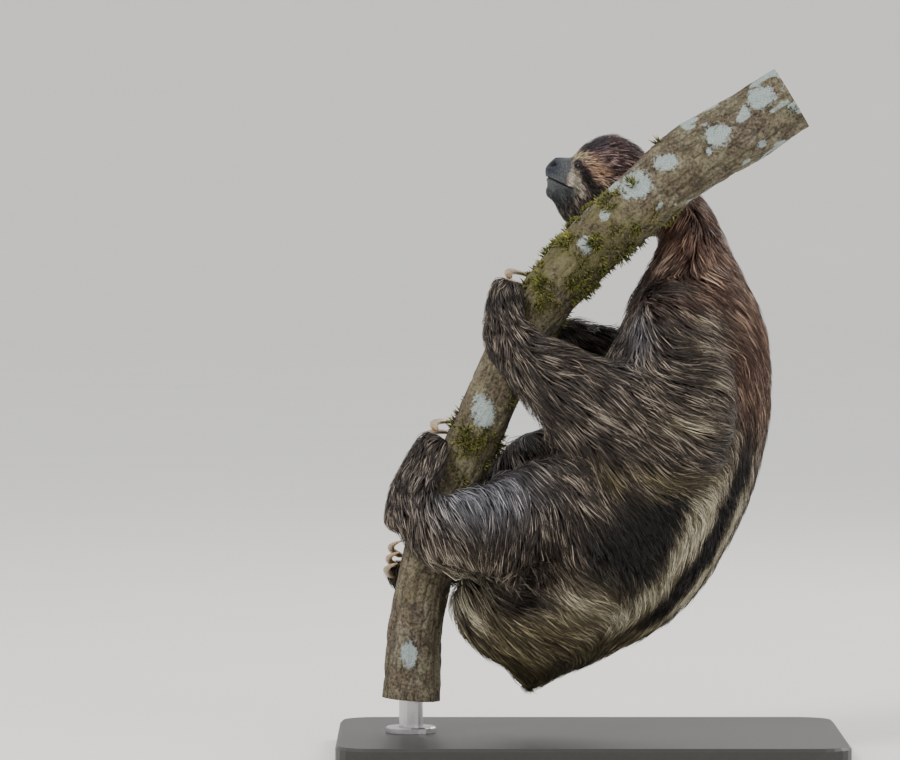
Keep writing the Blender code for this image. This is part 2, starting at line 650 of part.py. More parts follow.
def main():
    for thing in list(bpy.data.objects):
        bpy.data.objects.remove(thing, do_unlink=True)

    coat = material("coat", (0.20, 0.165, 0.135), 0.85)
    coat_dark = material("coat_dark", (0.13, 0.105, 0.085), 0.85)
    face = material("face", (0.42, 0.35, 0.27), 0.80)
    jaw_skin = material("jaw_skin", (0.11, 0.11, 0.12), 0.60)
    claw_horn = material("claw_horn", (0.62, 0.50, 0.36), 0.45)
    eye_wet = material("eye_wet", (0.02, 0.013, 0.01), 0.10)
    bark_wood = material("bark_wood", (0.23, 0.19, 0.12), 0.90)
    board = material("stand_board", (0.035, 0.033, 0.032), 0.45)
    steel = material("stand_steel", (0.55, 0.55, 0.56), 0.32, metallic=1.0)

    body = make_body()
    perch_cutter = make_perch("perch_cutter", grow=GAP)
    combine(body, perch_cutter, "DIFFERENCE")
    remove(perch_cutter)
    keep_largest(body)

    made = {}
    sides = {
        "left": (LEFT_HAND, LEFT_FOREARM, LEFT_UPPER_ARM, LEFT_FOOT, LEFT_SHANK, LEFT_THIGH),
        "right": (RIGHT_HAND, RIGHT_FOREARM, RIGHT_UPPER_ARM, RIGHT_FOOT, RIGHT_SHANK, RIGHT_THIGH),
    }
    limb_names = ("hand", "forearm", "upper_arm", "foot", "shank", "thigh")
    for side, limbs in sides.items():
        for limb_name, rings in zip(limb_names, limbs):
            name = f"{limb_name}_{side}"
            made[name] = part_off(body, name, rings)
    made["tail"] = part_off(body, "tail", TAIL, rows=8)
    made["head"] = part_by_plane(body, "head", HEAD_PLANE)
    made["neck"] = part_by_plane(body, "neck", NECK_PLANE)
    made["thorax"] = part_by_plane(body, "thorax", THORAX_PLANE)
    body.name = "abdomen"
    made["abdomen"] = body

    jaw = copy_of(made["head"], "lower_jaw")
    for thing, grow, operation in (
        (jaw, -GAP / 2, "INTERSECT"),
        (made["head"], GAP / 2, "DIFFERENCE"),
    ):
        cutter = jaw_block(grow)
        combine(thing, cutter, operation)
        keep_largest(thing)
        remove(cutter)
    made["lower_jaw"] = jaw

    eyes = {}
    for side, sign in (("left", NEAR), ("right", FAR)):
        place = (EYE_PLACE[0], EYE_PLACE[1] + sign * EYE_ACROSS, EYE_PLACE[2])
        socket = ball("socket", place, (EYE_RADIUS + GAP,) * 3, divisions=2)
        combine(made["head"], socket, "DIFFERENCE")
        remove(socket)
        eyes[f"eye_{side}"] = ball(f"eye_{side}", place, (EYE_RADIUS,) * 3, divisions=2)
        nostril_place = (NOSTRIL_PLACE[0], NOSTRIL_PLACE[1] + sign * NOSTRIL_ACROSS, NOSTRIL_PLACE[2])
        nostril = ball("nostril", nostril_place, (NOSTRIL_DEPTH, NOSTRIL_RADIUS, NOSTRIL_RADIUS), 2)
        combine(made["head"], nostril, "DIFFERENCE")
        remove(nostril)
    keep_largest(made["head"])

    claws = {}
    for grip_name, grip in GRIPS.items():
        side, limb_name = grip_name.split("_")
        holder = made[f"{limb_name}_{side}"]
        for finger in (-1, 0, 1):
            number = finger + 2
            name = f"claw_{limb_name}_{side}_{number}"
            hole = claw("hole", grip, finger, grow=GAP)
            combine(holder, hole, "DIFFERENCE")
            remove(hole)
            claws[name] = claw(name, grip, finger)
        keep_largest(holder)

    for thing in made.values():
        lighten(thing)
    made |= eyes | claws

    perch = make_perch("perch")
    foot = PERCH["lower_cut"].values
    bore = turned(
        "bore",
        foot[0],
        foot[1],
        [
            (ROD_RADIUS + GAP, PERCH_BOTTOM - BORE_OVERRUN),
            (ROD_RADIUS + GAP, PERCH_BOTTOM + ROD_SOCKET + GAP),
        ],
    )
    combine(perch, bore, "DIFFERENCE")
    remove(bore)
    keep_largest(perch)
    made["perch"] = perch

    made["stand_base"] = rounded_plate(
        "stand_base", BASE_LENGTH, BASE_DEPTH, BASE_THICK, BASE_CORNER, BASE_EDGE
    )
    rod_bottom = BASE_THICK + GAP
    made["stand_rod"] = turned(
        "stand_rod",
        foot[0],
        foot[1],
        [
            (COLLAR_RADIUS, rod_bottom),
            (COLLAR_RADIUS, rod_bottom + COLLAR_THICK - COLLAR_BEVEL),
            (COLLAR_RADIUS - COLLAR_BEVEL, rod_bottom + COLLAR_THICK),
            (ROD_RADIUS, rod_bottom + COLLAR_THICK),
            (ROD_RADIUS, PERCH_BOTTOM + ROD_SOCKET),
        ],
    )

    looks = {"head": face, "lower_jaw": jaw_skin, "perch": bark_wood}
    looks |= {"stand_base": board, "stand_rod": steel, "neck": coat_dark}
    for name, thing in made.items():
        look = looks.get(name, coat)
        if name.startswith("claw_"):
            look = claw_horn
        if name.startswith("eye_"):
            look = eye_wet
        finish(thing, look)


main()
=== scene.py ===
"""Looks of the three-toed sloth model: one skin, a coat of solid locks, a face, claws, bark and a stand.

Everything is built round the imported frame, in metres: +Z up, the animal faces -X, its left side is on -Y.
"""

import math

import bmesh
import bpy
import numpy as np
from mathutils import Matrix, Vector
from mathutils.bvhtree import BVHTree
from mathutils.kdtree import KDTree


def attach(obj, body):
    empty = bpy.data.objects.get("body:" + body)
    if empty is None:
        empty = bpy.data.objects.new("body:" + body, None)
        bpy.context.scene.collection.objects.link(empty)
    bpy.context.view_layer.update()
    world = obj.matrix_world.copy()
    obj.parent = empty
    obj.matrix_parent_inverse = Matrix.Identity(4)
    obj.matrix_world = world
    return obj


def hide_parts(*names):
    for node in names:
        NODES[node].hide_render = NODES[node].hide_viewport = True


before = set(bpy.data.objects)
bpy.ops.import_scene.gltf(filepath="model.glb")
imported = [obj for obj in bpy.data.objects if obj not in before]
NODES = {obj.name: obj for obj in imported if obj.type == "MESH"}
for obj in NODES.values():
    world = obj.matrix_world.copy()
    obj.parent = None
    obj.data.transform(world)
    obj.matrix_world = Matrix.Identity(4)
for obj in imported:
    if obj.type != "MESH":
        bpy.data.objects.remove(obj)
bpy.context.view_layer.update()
SEED = 20261122

# ---------------------------------------------------------------- sizes
SIDES = ("left", "right")
EYE_SIDES = (("left", -1.0), ("right", 1.0))
LIMBS = ("upper_arm", "forearm", "hand", "thigh", "shank", "foot")
HEAD = ("head", "lower_jaw")
TRUNK = ("thorax", "abdomen", "tail", "neck")
FLESH = ["thorax", "abdomen", "tail", "neck", *HEAD, *(f"{limb}_{side}" for side in SIDES for limb in LIMBS)]

SWELL = 0.0004  # closes the thin gaps between the flesh nodes
VOXEL = 0.0024
MIDDLE_Y = 0.008  # of the body
HEAD_Y = 0.053
NOSE = np.array([-0.0345, HEAD_Y, 0.4880])
# across is from the head's middle
NOSTRIL = np.array([-0.0305, 0.0074, 0.4908])
EYE = np.array([-0.0080, 0.0163, 0.4878])
EYE_R = 0.0052
EYE_SET_BACK = 0.0020

# Coat of each part: depth, lock length, lock width.
COAT = {
    "thorax": (0.0105, 0.033, 0.00100),
    "abdomen": (0.0115, 0.036, 0.00105),
    "tail": (0.0080, 0.026, 0.00100),
    "neck": (0.0100, 0.029, 0.00100),
    "head": (0.0055, 0.015, 0.00080),
    "lower_jaw": (0.0012, 0.005, 0.00060),
    "upper_arm": (0.0105, 0.032, 0.00100),
    "forearm": (0.0105, 0.033, 0.00100),
    "hand": (0.0045, 0.016, 0.00080),
    "thigh": (0.0110, 0.034, 0.00105),
    "shank": (0.0105, 0.032, 0.00100),
    "foot": (0.0040, 0.015, 0.00080),
}

# Lie of the coat: for each part, places (x, z) in mm with the direction (dx, dz) of the hair there.
LIE = {
    "hand_left": [(-50, 393, -0.6, -0.6), (-75, 386, -0.05, -1), (-58, 368, -0.1, -1), (-72, 361, 0.05, -1)],
    "forearm_left": [
        (-76, 336, 0.12, -1), (-56, 311, 0.5, -0.85), (-42, 346, 0.9, -0.4), (-25, 313, 0.75, -0.65),
        (8, 336, 0.95, -0.32), (8, 295, 0.75, -0.65), (-42, 278, 0.42, -0.9), (-17, 253, 0.55, -0.85),
        (25, 261, 0.75, -0.65), (50, 295, 0.9, -0.45), (42, 228, 0.72, -0.7), (75, 278, 0.97, -0.22),
        (91, 245, 0.95, -0.35), (91, 220, 0.9, -0.45),
    ],
    "upper_arm_left": [
        (58, 378, 0.95, -0.3), (75, 344, 1, -0.1), (54, 328, 0.98, -0.25), (91, 361, 0.95, -0.3),
        (91, 311, 1, -0.15), (124, 295, 0.85, -0.5), (42, 394, 0.8, -0.6), (29, 353, 0, -1),
        (91, 270, 0.95, -0.3),
    ],
    "thorax": [
        (124, 378, 0.6, -0.8), (141, 336, 0.22, -0.97), (148, 295, 0, -1), (139, 253, -0.2, -1),
        (116, 278, 0.6, -0.8), (91, 378, 0.9, -0.45), (29, 353, -0.02, -1), (108, 344, 0.85, -0.5),
        (108, 228, 0.3, -0.95), (83, 228, 0.6, -0.8), (42, 328, 0.5, -0.85),
    ],
    "neck": [
        (91, 451, -0.1, -1), (83, 427, -0.1, -1), (60, 419, -0.4, -0.92), (105, 427, 0.3, -0.95),
        (118, 409, 0.42, -0.9), (50, 407, -0.3, -0.95),
    ],
    "thigh_left": [
        (-25, 261, 0.8, -0.6), (-8, 228, 0.6, -0.8), (8, 195, 0.45, -0.9), (37, 187, 0.42, -0.9),
        (-17, 178, 0.4, -0.9), (25, 228, 0.7, -0.7),
    ],
    "shank_left": [
        (-141, 243, 0.25, -0.97), (-108, 230, 0.5, -0.88), (-91, 212, 0.15, -1), (-66, 212, 0.1, -1),
        (-58, 168, -0.15, -1), (-76, 174, -0.35, -0.93), (-106, 178, 0.6, -0.8), (-124, 162, 0.7, -0.7),
        (-91, 129, 0.7, -0.7), (-25, 212, 0.5, -0.85), (-40, 145, 0.4, -0.9), (-75, 237, 0.6, -0.8),
        (-149, 195, 0.3, -0.95),
    ],
    "foot_left": [
        (-120, 263, -0.8, -0.5), (-148, 245, -0.35, -0.93), (-158, 212, 0.1, -1), (-158, 187, 0.35, -0.93),
        (-133, 253, -0.3, -0.9),
    ],
    "abdomen": [
        (42, 187, 0.4, -0.9), (8, 135, 0.9, -0.42), (-17, 129, 0.75, -0.65), (-42, 87, 0.75, -0.62),
        (-75, 87, 0.72, -0.7), (0, 87, 0.85, -0.5), (50, 129, 0.2, -0.95), (83, 178, -0.28, -0.95),
        (120, 212, -0.45, -0.9), (108, 178, -0.55, -0.83), (75, 141, -0.72, -0.7), (42, 108, -0.8, -0.6),
        (8, 83, -0.85, -0.5), (-25, 62, -0.6, -0.8), (58, 162, 0.15, -1), (91, 212, 0, -1),
        (-108, 120, 0.7, -0.7), (-124, 154, 0.65, -0.75),
    ],
    "tail": [(-42, 54, 0.2, -1)],
    "hand_right": [(-50, 345, 0.9, -0.45), (-15, 340, 0.8, -0.6)],
    "forearm_right": [(-15, 345, 0.8, -0.6), (25, 300, 0.7, -0.75), (60, 262, 0.75, -0.65)],
    "upper_arm_right": [(64, 375, 0.85, -0.5), (60, 330, 0.9, -0.45), (55, 285, 0.8, -0.6)],
    "thigh_right": [(34, 157, 0.4, -0.9), (0, 200, 0.55, -0.85), (-30, 236, 0.7, -0.7)],
    "shank_right": [(-40, 240, 0.3, -0.95), (-80, 200, 0.15, -1), (-125, 155, 0.3, -0.95)],
    "foot_right": [(-130, 136, 0.5, -0.85), (-160, 155, 0.1, -1)],
}
LIE_SPREAD = 0.022

# The middle line of the trunk of the body, from rump to nape: x, y, z in mm.
SPINE = np.array([
    (-100, -10, 140), (-72, 2, 118), (-43, 8, 113), (-12, 8, 132), (20, 8, 161), (45, 8, 200), (63, 8, 245),
    (76, 8, 292), (85, 9, 337), (86, 12, 372), (85, 20, 400), (85, 34, 425),
]) / 1000
BACK_TURN = math.radians(-35.0)  # the back is turned a little towards the left side

# Pieces of the coat: the parts each covers, and its share of the locks.
COAT_PIECES = {
    "coat_head": (("head", "lower_jaw"), 12300),
    "coat_neck": (("neck",), 6600),
    "coat_thorax_left": (("thorax",), 9800),
    "coat_thorax_right": (("thorax",), 7600),
    "coat_abdomen_left": (("abdomen", "tail"), 11600),
    "coat_abdomen_right": (("abdomen", "tail"), 7800),
    "coat_arm_left": (("upper_arm_left", "forearm_left", "hand_left"), 12200),
    "coat_arm_right": (("upper_arm_right", "forearm_right", "hand_right"), 6900),
    "coat_leg_left": (("thigh_left", "shank_left", "foot_left"), 11800),
    "coat_leg_right": (("thigh_right", "shank_right", "foot_right"), 6700),
}
ROWS = 3  # rings of a lock before its tip
LOCK_CORNERS = ROWS * 3 + 1
SHOWN_ROW = 2  # the row of a lock at which it reads the markings
LOCK_WIDTHS = (0.80, 1.00, 0.72)  # of the rings
LOCK_THICK = 0.45  # share of the width
ROOT_DEPTH = 0.0006  # of a lock's root below the skin
STRAY = 0.17  # how far a lock turns away from the lie of the coat
BUNCH_SHARE = 1 / 15  # bunches for each lock
BUNCH_PULL = 0.80
UNDER_SHARE = 0.16  # broad short locks under the others
PATCH = 0.003  # size of a lock's patch on the coat's map


# ---------------------------------------------------------------- number helpers
def ease(low, high, value):
    """0 at low, 1 at high, with a smooth turn at both."""
    t = np.clip((value - low) / (high - low), 0.0, 1.0)
    return t * t * (3 - 2 * t)


def mirrored(points):
    """Points with their distance from the head's middle plane in place of y."""
    return np.stack([points[:, 0], np.abs(points[:, 1] - HEAD_Y), points[:, 2]], axis=1)


def unit(vectors):
    return vectors / np.maximum(np.linalg.norm(vectors, axis=-1, keepdims=True), 1e-12)


def bump_at(points, middle, spread):
    """1 at middle, falling smoothly to 0; spread is one size or three."""
    away = (points - np.array(middle)) / np.array(spread)
    return np.exp(-(away**2).sum(axis=-1))


def lattice(i, j, k, seed):
    """A repeatable number from 0 to 1 for each whole-number place."""
    h = (i * 374761393 + j * 668265263 + k * 2147483647 + seed * 974634777) & 0xFFFFFFFF
    h = ((h ^ (h >> 13)) * 1274126177) & 0xFFFFFFFF
    h = ((h ^ (h >> 16)) * 2246822519) & 0xFFFFFFFF
    return ((h ^ (h >> 15)) & 0xFFFFFF) / float(0xFFFFFF)


def noise(points, scale, seed=0):
    """Smooth random values from 0 to 1 over space; scale is how many per metre."""
    p = points * np.array(scale)
    base = np.floor(p).astype(np.int64)
    f = p - base
    f = f * f * (3 - 2 * f)
    total = np.zeros(len(p))
    for dx in (0, 1):
        for dy in (0, 1):
            for dz in (0, 1):
                weight = np.abs(1 - dx - f[:, 0]) * np.abs(1 - dy - f[:, 1]) * np.abs(1 - dz - f[:, 2])
                total += weight * lattice(base[:, 0] + dx, base[:, 1] + dy, base[:, 2] + dz, seed)
    return total


def layered_noise(points, scale, octaves=3, seed=0):
    total, weight, sum_of = np.zeros(len(points)), 1.0, 0.0
    for octave in range(octaves):
        total += weight * noise(points, np.array(scale) * 2**octave, seed + octave)
        sum_of += weight
        weight *= 0.5
    return total / sum_of


# ---------------------------------------------------------------- mesh helpers
def object_from(name, verts, faces):
    mesh = bpy.data.meshes.new(name)
    mesh.from_pydata(np.asarray(verts).tolist(), [], faces)
    mesh.update()
    return object_of(name, mesh)


def object_of(name, data):
    made = bpy.data.objects.new(name, data)
    bpy.context.scene.collection.objects.link(made)
    return made


def arrays_of(mesh):
    verts = np.empty(len(mesh.vertices) * 3)
    mesh.vertices.foreach_get("co", verts)
    mesh.calc_loop_triangles()
    tris = np.empty(len(mesh.loop_triangles) * 3, np.int32)
    mesh.loop_triangles.foreach_get("vertices", tris)
    edges = np.empty(len(mesh.edges) * 2, np.int32)
    mesh.edges.foreach_get("vertices", edges)
    return verts.reshape(-1, 3), tris.reshape(-1, 3), edges.reshape(-1, 2)


def settle(thing):
    graph = bpy.context.evaluated_depsgraph_get()
    made = bpy.data.meshes.new_from_object(thing.evaluated_get(graph))
    old = thing.data
    thing.modifiers.clear()
    thing.data = made
    bpy.data.meshes.remove(old)


def shade_smooth(thing):
    thing.data.polygons.foreach_set("use_smooth", [True] * len(thing.data.polygons))


def clean_arrays(node, swell=0.0):
    """A node's vertices and triangles with its split corners joined, swelled a little."""
    shape = bmesh.new()
    shape.from_mesh(node.data)
    bmesh.ops.remove_doubles(shape, verts=shape.verts[:], dist=1e-5)
    shape.normal_update()
    shape.verts.index_update()
    verts = np.array([tuple(v.co + v.normal * swell) for v in shape.verts])
    faces = np.array([[v.index for v in f.verts] for f in shape.faces])
    shape.free()
    return verts, faces


def vertex_normals(verts, tris):
    a, b, c = (verts[tris[:, k]] for k in range(3))
    flat = np.cross(b - a, c - a)
    total = np.zeros_like(verts)
    for corner in range(3):
        for axis in range(3):
            total[:, axis] += np.bincount(tris[:, corner], weights=flat[:, axis], minlength=len(verts))
    return unit(total)


class Web:
    """Who neighbours whom on a mesh, for averaging values over it."""

    def __init__(self, edges, count):
        self.start = np.concatenate([edges[:, 0], edges[:, 1]])
        self.end = np.concatenate([edges[:, 1], edges[:, 0]])
        self.count = count
        self.degree = np.maximum(np.bincount(self.start, minlength=count), 1)

    def mean(self, values):
        columns = values.reshape(self.count, -1)
        found = [
            np.bincount(self.start, weights=columns[self.end, k], minlength=self.count) / self.degree
            for k in range(columns.shape[1])
        ]
        return np.stack(found, axis=1).reshape(values.shape)

    def soften(self, values, rounds):
        for _ in range(rounds):
            values = self.mean(values)
        return values


class Surface:
    """A triangle mesh that finds the nearest place on it and reads vertex values there."""

    def __init__(self, verts, tris):
        self.verts, self.tris = verts, tris
        self.tree = BVHTree.FromPolygons(verts.tolist(), tris.tolist())

    def nearest(self, points):
        places, faces = np.empty((len(points), 3)), np.empty(len(points), np.int64)
        find = self.tree.find_nearest
        for row, point in enumerate(points.tolist()):
            place, _, face, _ = find(point)
            places[row] = place
            faces[row] = face
        return places, faces

    def weights(self, places, faces):
        a, b, c = (self.verts[self.tris[faces, k]] for k in range(3))
        ab, ac, ap = b - a, c - a, places - a
        d00, d01, d11 = (ab * ab).sum(1), (ab * ac).sum(1), (ac * ac).sum(1)
        d20, d21 = (ap * ab).sum(1), (ap * ac).sum(1)
        scale = np.maximum(d00 * d11 - d01 * d01, 1e-18)
        v = np.clip((d11 * d20 - d01 * d21) / scale, 0, 1)
        w = np.clip((d00 * d21 - d01 * d20) / scale, 0, 1)
        return np.stack([1 - v - w, v, w], axis=1)

    def read(self, values, places, faces):
        mix = self.weights(places, faces)
        corners = values[self.tris[faces]]
        if corners.ndim == 2:
            return (corners * mix).sum(1)
        return (corners * mix[:, :, None]).sum(1)


# ---------------------------------------------------------------- the body: outline, skin and their fields
# Boxes round the face in which the outline is made finer, each within the last: high x, low z, high z, low y.
FINE_BOXES = (
    (0.024, 0.446, 1.0, 0.015), (0.006, 0.460, 0.500, 0.025), (-0.0025, 0.468, 0.4985, 0.025),
)


def eye_gaze(sign):
    return unit(np.array([-0.42, sign * 0.90, 0.10]))


def eye_middle(sign):
    return np.array([EYE[0], HEAD_Y + sign * EYE[1], EYE[2]])


def part_of(name):
    return name.replace("_left", "").replace("_right", "")


def belongs(owner, *parts):
    """What is on the named parts; a name without its side means both sides."""
    numbers = [number for number, name in enumerate(FLESH) if name in parts or part_of(name) in parts]
    return np.isin(owner, numbers)


def make_outline():
    """The flesh nodes fused into one body, finer over the face; with their own surface and its owners."""
    verts, faces, owner = [], [], []
    for number, name in enumerate(FLESH):
        v, f = clean_arrays(NODES[name], SWELL)
        faces.append(f + sum(len(x) for x in verts))
        verts.append(v)
        owner += [number] * len(f)
    cad = Surface(np.vstack(verts), np.vstack(faces))
    # the eyes fill their sockets, set back a little towards the head's middle
    for side, sign in EYE_SIDES:
        v, f = clean_arrays(NODES[f"eye_{side}"], SWELL)
        faces.append(f + sum(len(x) for x in verts))
        verts.append(v - EYE_SET_BACK * eye_gaze(sign))
    body = object_from("skin", np.vstack(verts), np.vstack(faces).tolist())
    fuse = body.modifiers.new("fuse", "REMESH")
    fuse.mode = "VOXEL"
    fuse.voxel_size = VOXEL
    soften = body.modifiers.new("soften", "SMOOTH")
    soften.factor = 0.5
    soften.iterations = 5
    bpy.context.view_layer.update()
    settle(body)
    for box in FINE_BOXES:
        refine(body, *box)
    return body, cad, np.array(owner)


def refine(body, high_x, low_z, high_z, low_y):
    """Halve the edges within a box."""
    shape = bmesh.new()
    shape.from_mesh(body.data)
    inside = {v for v in shape.verts if v.co.x < high_x and low_z < v.co.z < high_z and v.co.y > low_y}
    edges = [e for e in shape.edges if e.verts[0] in inside and e.verts[1] in inside]
    bmesh.ops.subdivide_edges(shape, edges=edges, cuts=1, smooth=0.0, use_grid_fill=True)
    bmesh.ops.triangulate(shape, faces=[f for f in shape.faces if len(f.verts) > 4])
    shape.to_mesh(body.data)
    shape.free()


def head_depth(p):
    """Coat depth over the head: bare at the nose, short round the eyes, longer towards the crown."""
    depth = 0.0008 + 0.0062 * ease(-0.030, 0.030, p[:, 0])
    depth += 0.0022 * ease(0.497, 0.512, p[:, 2]) * ease(-0.015, 0.0, p[:, 0])
    depth += 0.0030 * ease(0.466, 0.454, p[:, 2])
    return depth * (1 - 0.75 * bump_at(mirrored(p), EYE, 0.0100))


def hanging_fringe(verts, normals):
    """Where long locks hang free: the underside of the left shank and of the thigh behind it."""
    x, y, z = verts.T
    below = ease(0.10, 0.75, -normals[:, 2])
    return below * band(x, -0.150, -0.070, 0.010) * ease(0.200, 0.185, z) * ease(-0.02, -0.045, y)


def neck_cape(verts, owner):
    """Where the hair of the neck stands out over the shoulder."""
    return belongs(owner, "neck") * ease(0.420, 0.408, verts[:, 2]) * ease(0.112, 0.098, verts[:, 0])


def coat_fields(verts, normals, owner, web):
    """Depth, lock length and lock width for each vertex."""
    fields = np.array([COAT[part_of(name)] for name in FLESH])[owner]
    hanging = ease(0.25, 0.95, -normals[:, 2]) * belongs(owner, "forearm", "shank_left")
    fields[:, 0] += 0.007 * hanging
    fields[:, 1] += 0.010 * hanging
    fields[:, 1] += 0.022 * hanging_fringe(verts, normals) + 0.006 * neck_cape(verts, owner)
    fields = web.soften(fields, 14)
    face = web.soften(belongs(owner, *HEAD).astype(float), 6)
    depth = head_depth(verts)
    width = 0.00036 + 0.00046 * ease(-0.02, 0.03, verts[:, 0])
    short = np.stack([depth, 0.0030 + 2.1 * depth, width], axis=1)
    return fields + (short - fields) * face[:, None]


def sink(verts, tris, web, depth, steps=18):
    """Move a surface inwards by depth, a little at a time, kept smooth."""
    p = verts.copy()
    for _ in range(steps):
        p -= unit(web.soften(vertex_normals(p, tris), 6)) * (depth / steps)[:, None]
        p += 0.16 * (web.mean(p) - p)
    return p


def lie_of_coat(verts, normals, owner, web):
    """Unit direction in which the hair runs at each vertex."""
    flow = np.zeros_like(verts)
    for number, name in enumerate(FLESH):
        mine = owner == number
        p = verts[mine]
        if name in HEAD:
            # back from the nose, and down the throat
            away = unit(p - (NOSE + np.array([-0.004, 0.0, 0.0])))
            down = ease(0.478, 0.458, p[:, 2])[:, None]
            flow[mine] = unit(away + down * np.array([0.25, 0.0, -1.1]))
            continue
        guides = np.array(LIE[name], float)
        away = (p[:, None, [0, 2]] - guides[None, :, :2] / 1000) / LIE_SPREAD
        weight = np.exp(-(away**2).sum(2)) + 1e-9
        mixed = (weight[:, :, None] * guides[None, :, 2:]).sum(1) / weight.sum(1)[:, None]
        flow[mine, 0], flow[mine, 2] = mixed[:, 0], mixed[:, 1]
        if name == "shank_left":
            fall = hanging_fringe(p, normals[mine])[:, None]
            flow[mine] = flow[mine] * (1 - fall) + fall * np.array([0.55, 0.0, -0.85])
        # where the surface faces along the hair's own direction, the hair turns out to the flank
        side = np.sign(p[:, 1] - MIDDLE_Y)
        flow[mine, 1] = 0.25 * side * ease(-0.2, -0.8, normals[mine, 0])
    for _ in range(18):
        flow -= normals * (flow * normals).sum(1)[:, None]
        flow = web.mean(unit(flow))
    flow = unit(flow - normals * (flow * normals).sum(1)[:, None])
    swirl = 0.95 * (noise(verts, 30.0, 81) - 0.5) + 0.70 * (noise(verts, 80.0, 82) - 0.5)
    swirl *= np.where(belongs(owner, *HEAD), 0.35 + 0.45 * ease(0.000, 0.012, verts[:, 0]), 1.0)
    return unit(flow * np.cos(swirl)[:, None] + np.cross(normals, flow) * np.sin(swirl)[:, None])


# ---------------------------------------------------------------- markings, with painted shade and painted sheen, shared by skin and coat
BODY_MASKS = ("cream", "rufous", "dark", "olive", "sheen")
FACE_MASKS = ("cheek", "slate", "buff", "brown", "tan", "crown", "nose")
MASKS = BODY_MASKS + FACE_MASKS
MASK_LAYERS = ("marks_a", "marks_b", "marks_c", "marks_d")

# Strokes of a marking or of painted shade seen from the side, as places (x, z) with the half width there.
EYE_STRIPE = (
    (-0.0105, 0.4920, 0.0032), (-0.0050, 0.4845, 0.0042), (0.0, 0.4755, 0.0050), (0.0095, 0.4620, 0.0068),
)
PALE_CHEEK = ((-0.0150, 0.4925, 0.0032), (-0.0128, 0.4800, 0.0052), (-0.0085, 0.4660, 0.0055))
PALE_BROW = ((-0.0135, 0.4955, 0.0026), (-0.0085, 0.4985, 0.0036), (-0.0030, 0.4985, 0.0030))
TAN_PATCH = ((-0.0005, 0.4965, 0.0046), (0.0060, 0.4880, 0.0070), (0.0130, 0.4780, 0.0075))
# Painted shade: dark strokes in the hollows of the flank, the belly and the shank, where shadow falls.
FLANK_SHADE = (
    (0.096, 0.208, 0.010), (0.070, 0.197, 0.023), (0.040, 0.180, 0.030), (0.020, 0.158, 0.027),
    (0.006, 0.144, 0.014),
)
BELLY_SHADE = ((0.054, 0.168, 0.014), (0.036, 0.140, 0.012), (0.021, 0.114, 0.007))
SHANK_SHADE = ((-0.090, 0.142, 0.006), (-0.064, 0.130, 0.011), (-0.038, 0.130, 0.007))

# Soft patches of a marking or of painted sheen: share, middle and spread.
# Cream: pale hair; the shoulder's pale streaks, the second to fourth rows, are partly painted highlight on
# lit strands.
CREAM_PATCHES = (
    (1.25, (0.084, -0.100, 0.275), (0.023, 0.030, 0.0095)),
    (0.90, (0.092, -0.095, 0.363), (0.011, 0.04, 0.0055)),
    (0.85, (0.089, -0.095, 0.343), (0.010, 0.04, 0.0045)),
    (0.80, (0.108, -0.080, 0.311), (0.010, 0.04, 0.0065)),
    (0.25, (0.020, -0.120, 0.285), (0.020, 0.04, 0.0060)),
    (0.95, (-0.004, -0.065, 0.129), (0.026, 0.05, 0.015)),
    (0.75, (-0.108, -0.050, 0.140), (0.026, 0.05, 0.024)),
    (0.70, (0.078, 0.085, 0.240), (0.02, 0.05, 0.016)),
)
# Painted sheen: paler bluish-grey hair standing for the sky's reflection on the top of the left shank, on the
# chest tuft and, weaker, on the right shank.
SHEEN_PATCHES = (
    (1.50, (-0.092, -0.09, 0.219), (0.038, 0.05, 0.024)), (0.80, (0.032, -0.07, 0.352), (0.014, 0.05, 0.020)),
    (0.40, (-0.075, 0.10, 0.215), (0.040, 0.05, 0.030)),
)


def round_the_body(points):
    """The angle of each point from the back's middle, in degrees round the trunk of the body."""
    best, angle = np.full(len(points), np.inf), np.zeros(len(points))
    for a, b in zip(SPINE[:-1], SPINE[1:]):
        t = np.clip(((points - a) @ (b - a)) / ((b - a) @ (b - a)), 0, 1)
        away = points - (a + t[:, None] * (b - a))
        distance = np.linalg.norm(away, axis=1)
        up = unit(b - a)
        back = unit(np.cross(np.array([0.0, 1.0, 0.0]), up))
        turned = math.cos(BACK_TURN) * back + math.sin(BACK_TURN) * np.array([0.0, 1.0, 0.0])
        closer = distance < best
        best[closer] = distance[closer]
        angle[closer] = np.arctan2((away @ np.cross(up, turned))[closer], (away @ turned)[closer])
    return np.degrees(angle)


def band(value, low, high, soft):
    return ease(low - soft, low + soft, value) * (1 - ease(high - soft, high + soft, value))


def stroke(points, line, soft=0.0016):
    """1 along a line of (x, z, half width) seen from the side, falling to 0 beside it."""
    best = np.zeros(len(points))
    flat = points[:, [0, 2]]
    for start, end in zip(np.array(line[:-1]), np.array(line[1:])):
        a, step = start[:2], (end - start)[:2]
        t = np.clip(((flat - a) @ step) / (step @ step), 0, 1)
        away = np.linalg.norm(flat - (a + t[:, None] * step), axis=1)
        width = start[2] + (end - start)[2] * t
        best = np.maximum(best, ease(width + soft, width - soft, away))
    return best


def patches(points, table):
    return sum(share * bump_at(points, middle, spread) for share, middle, spread in table)


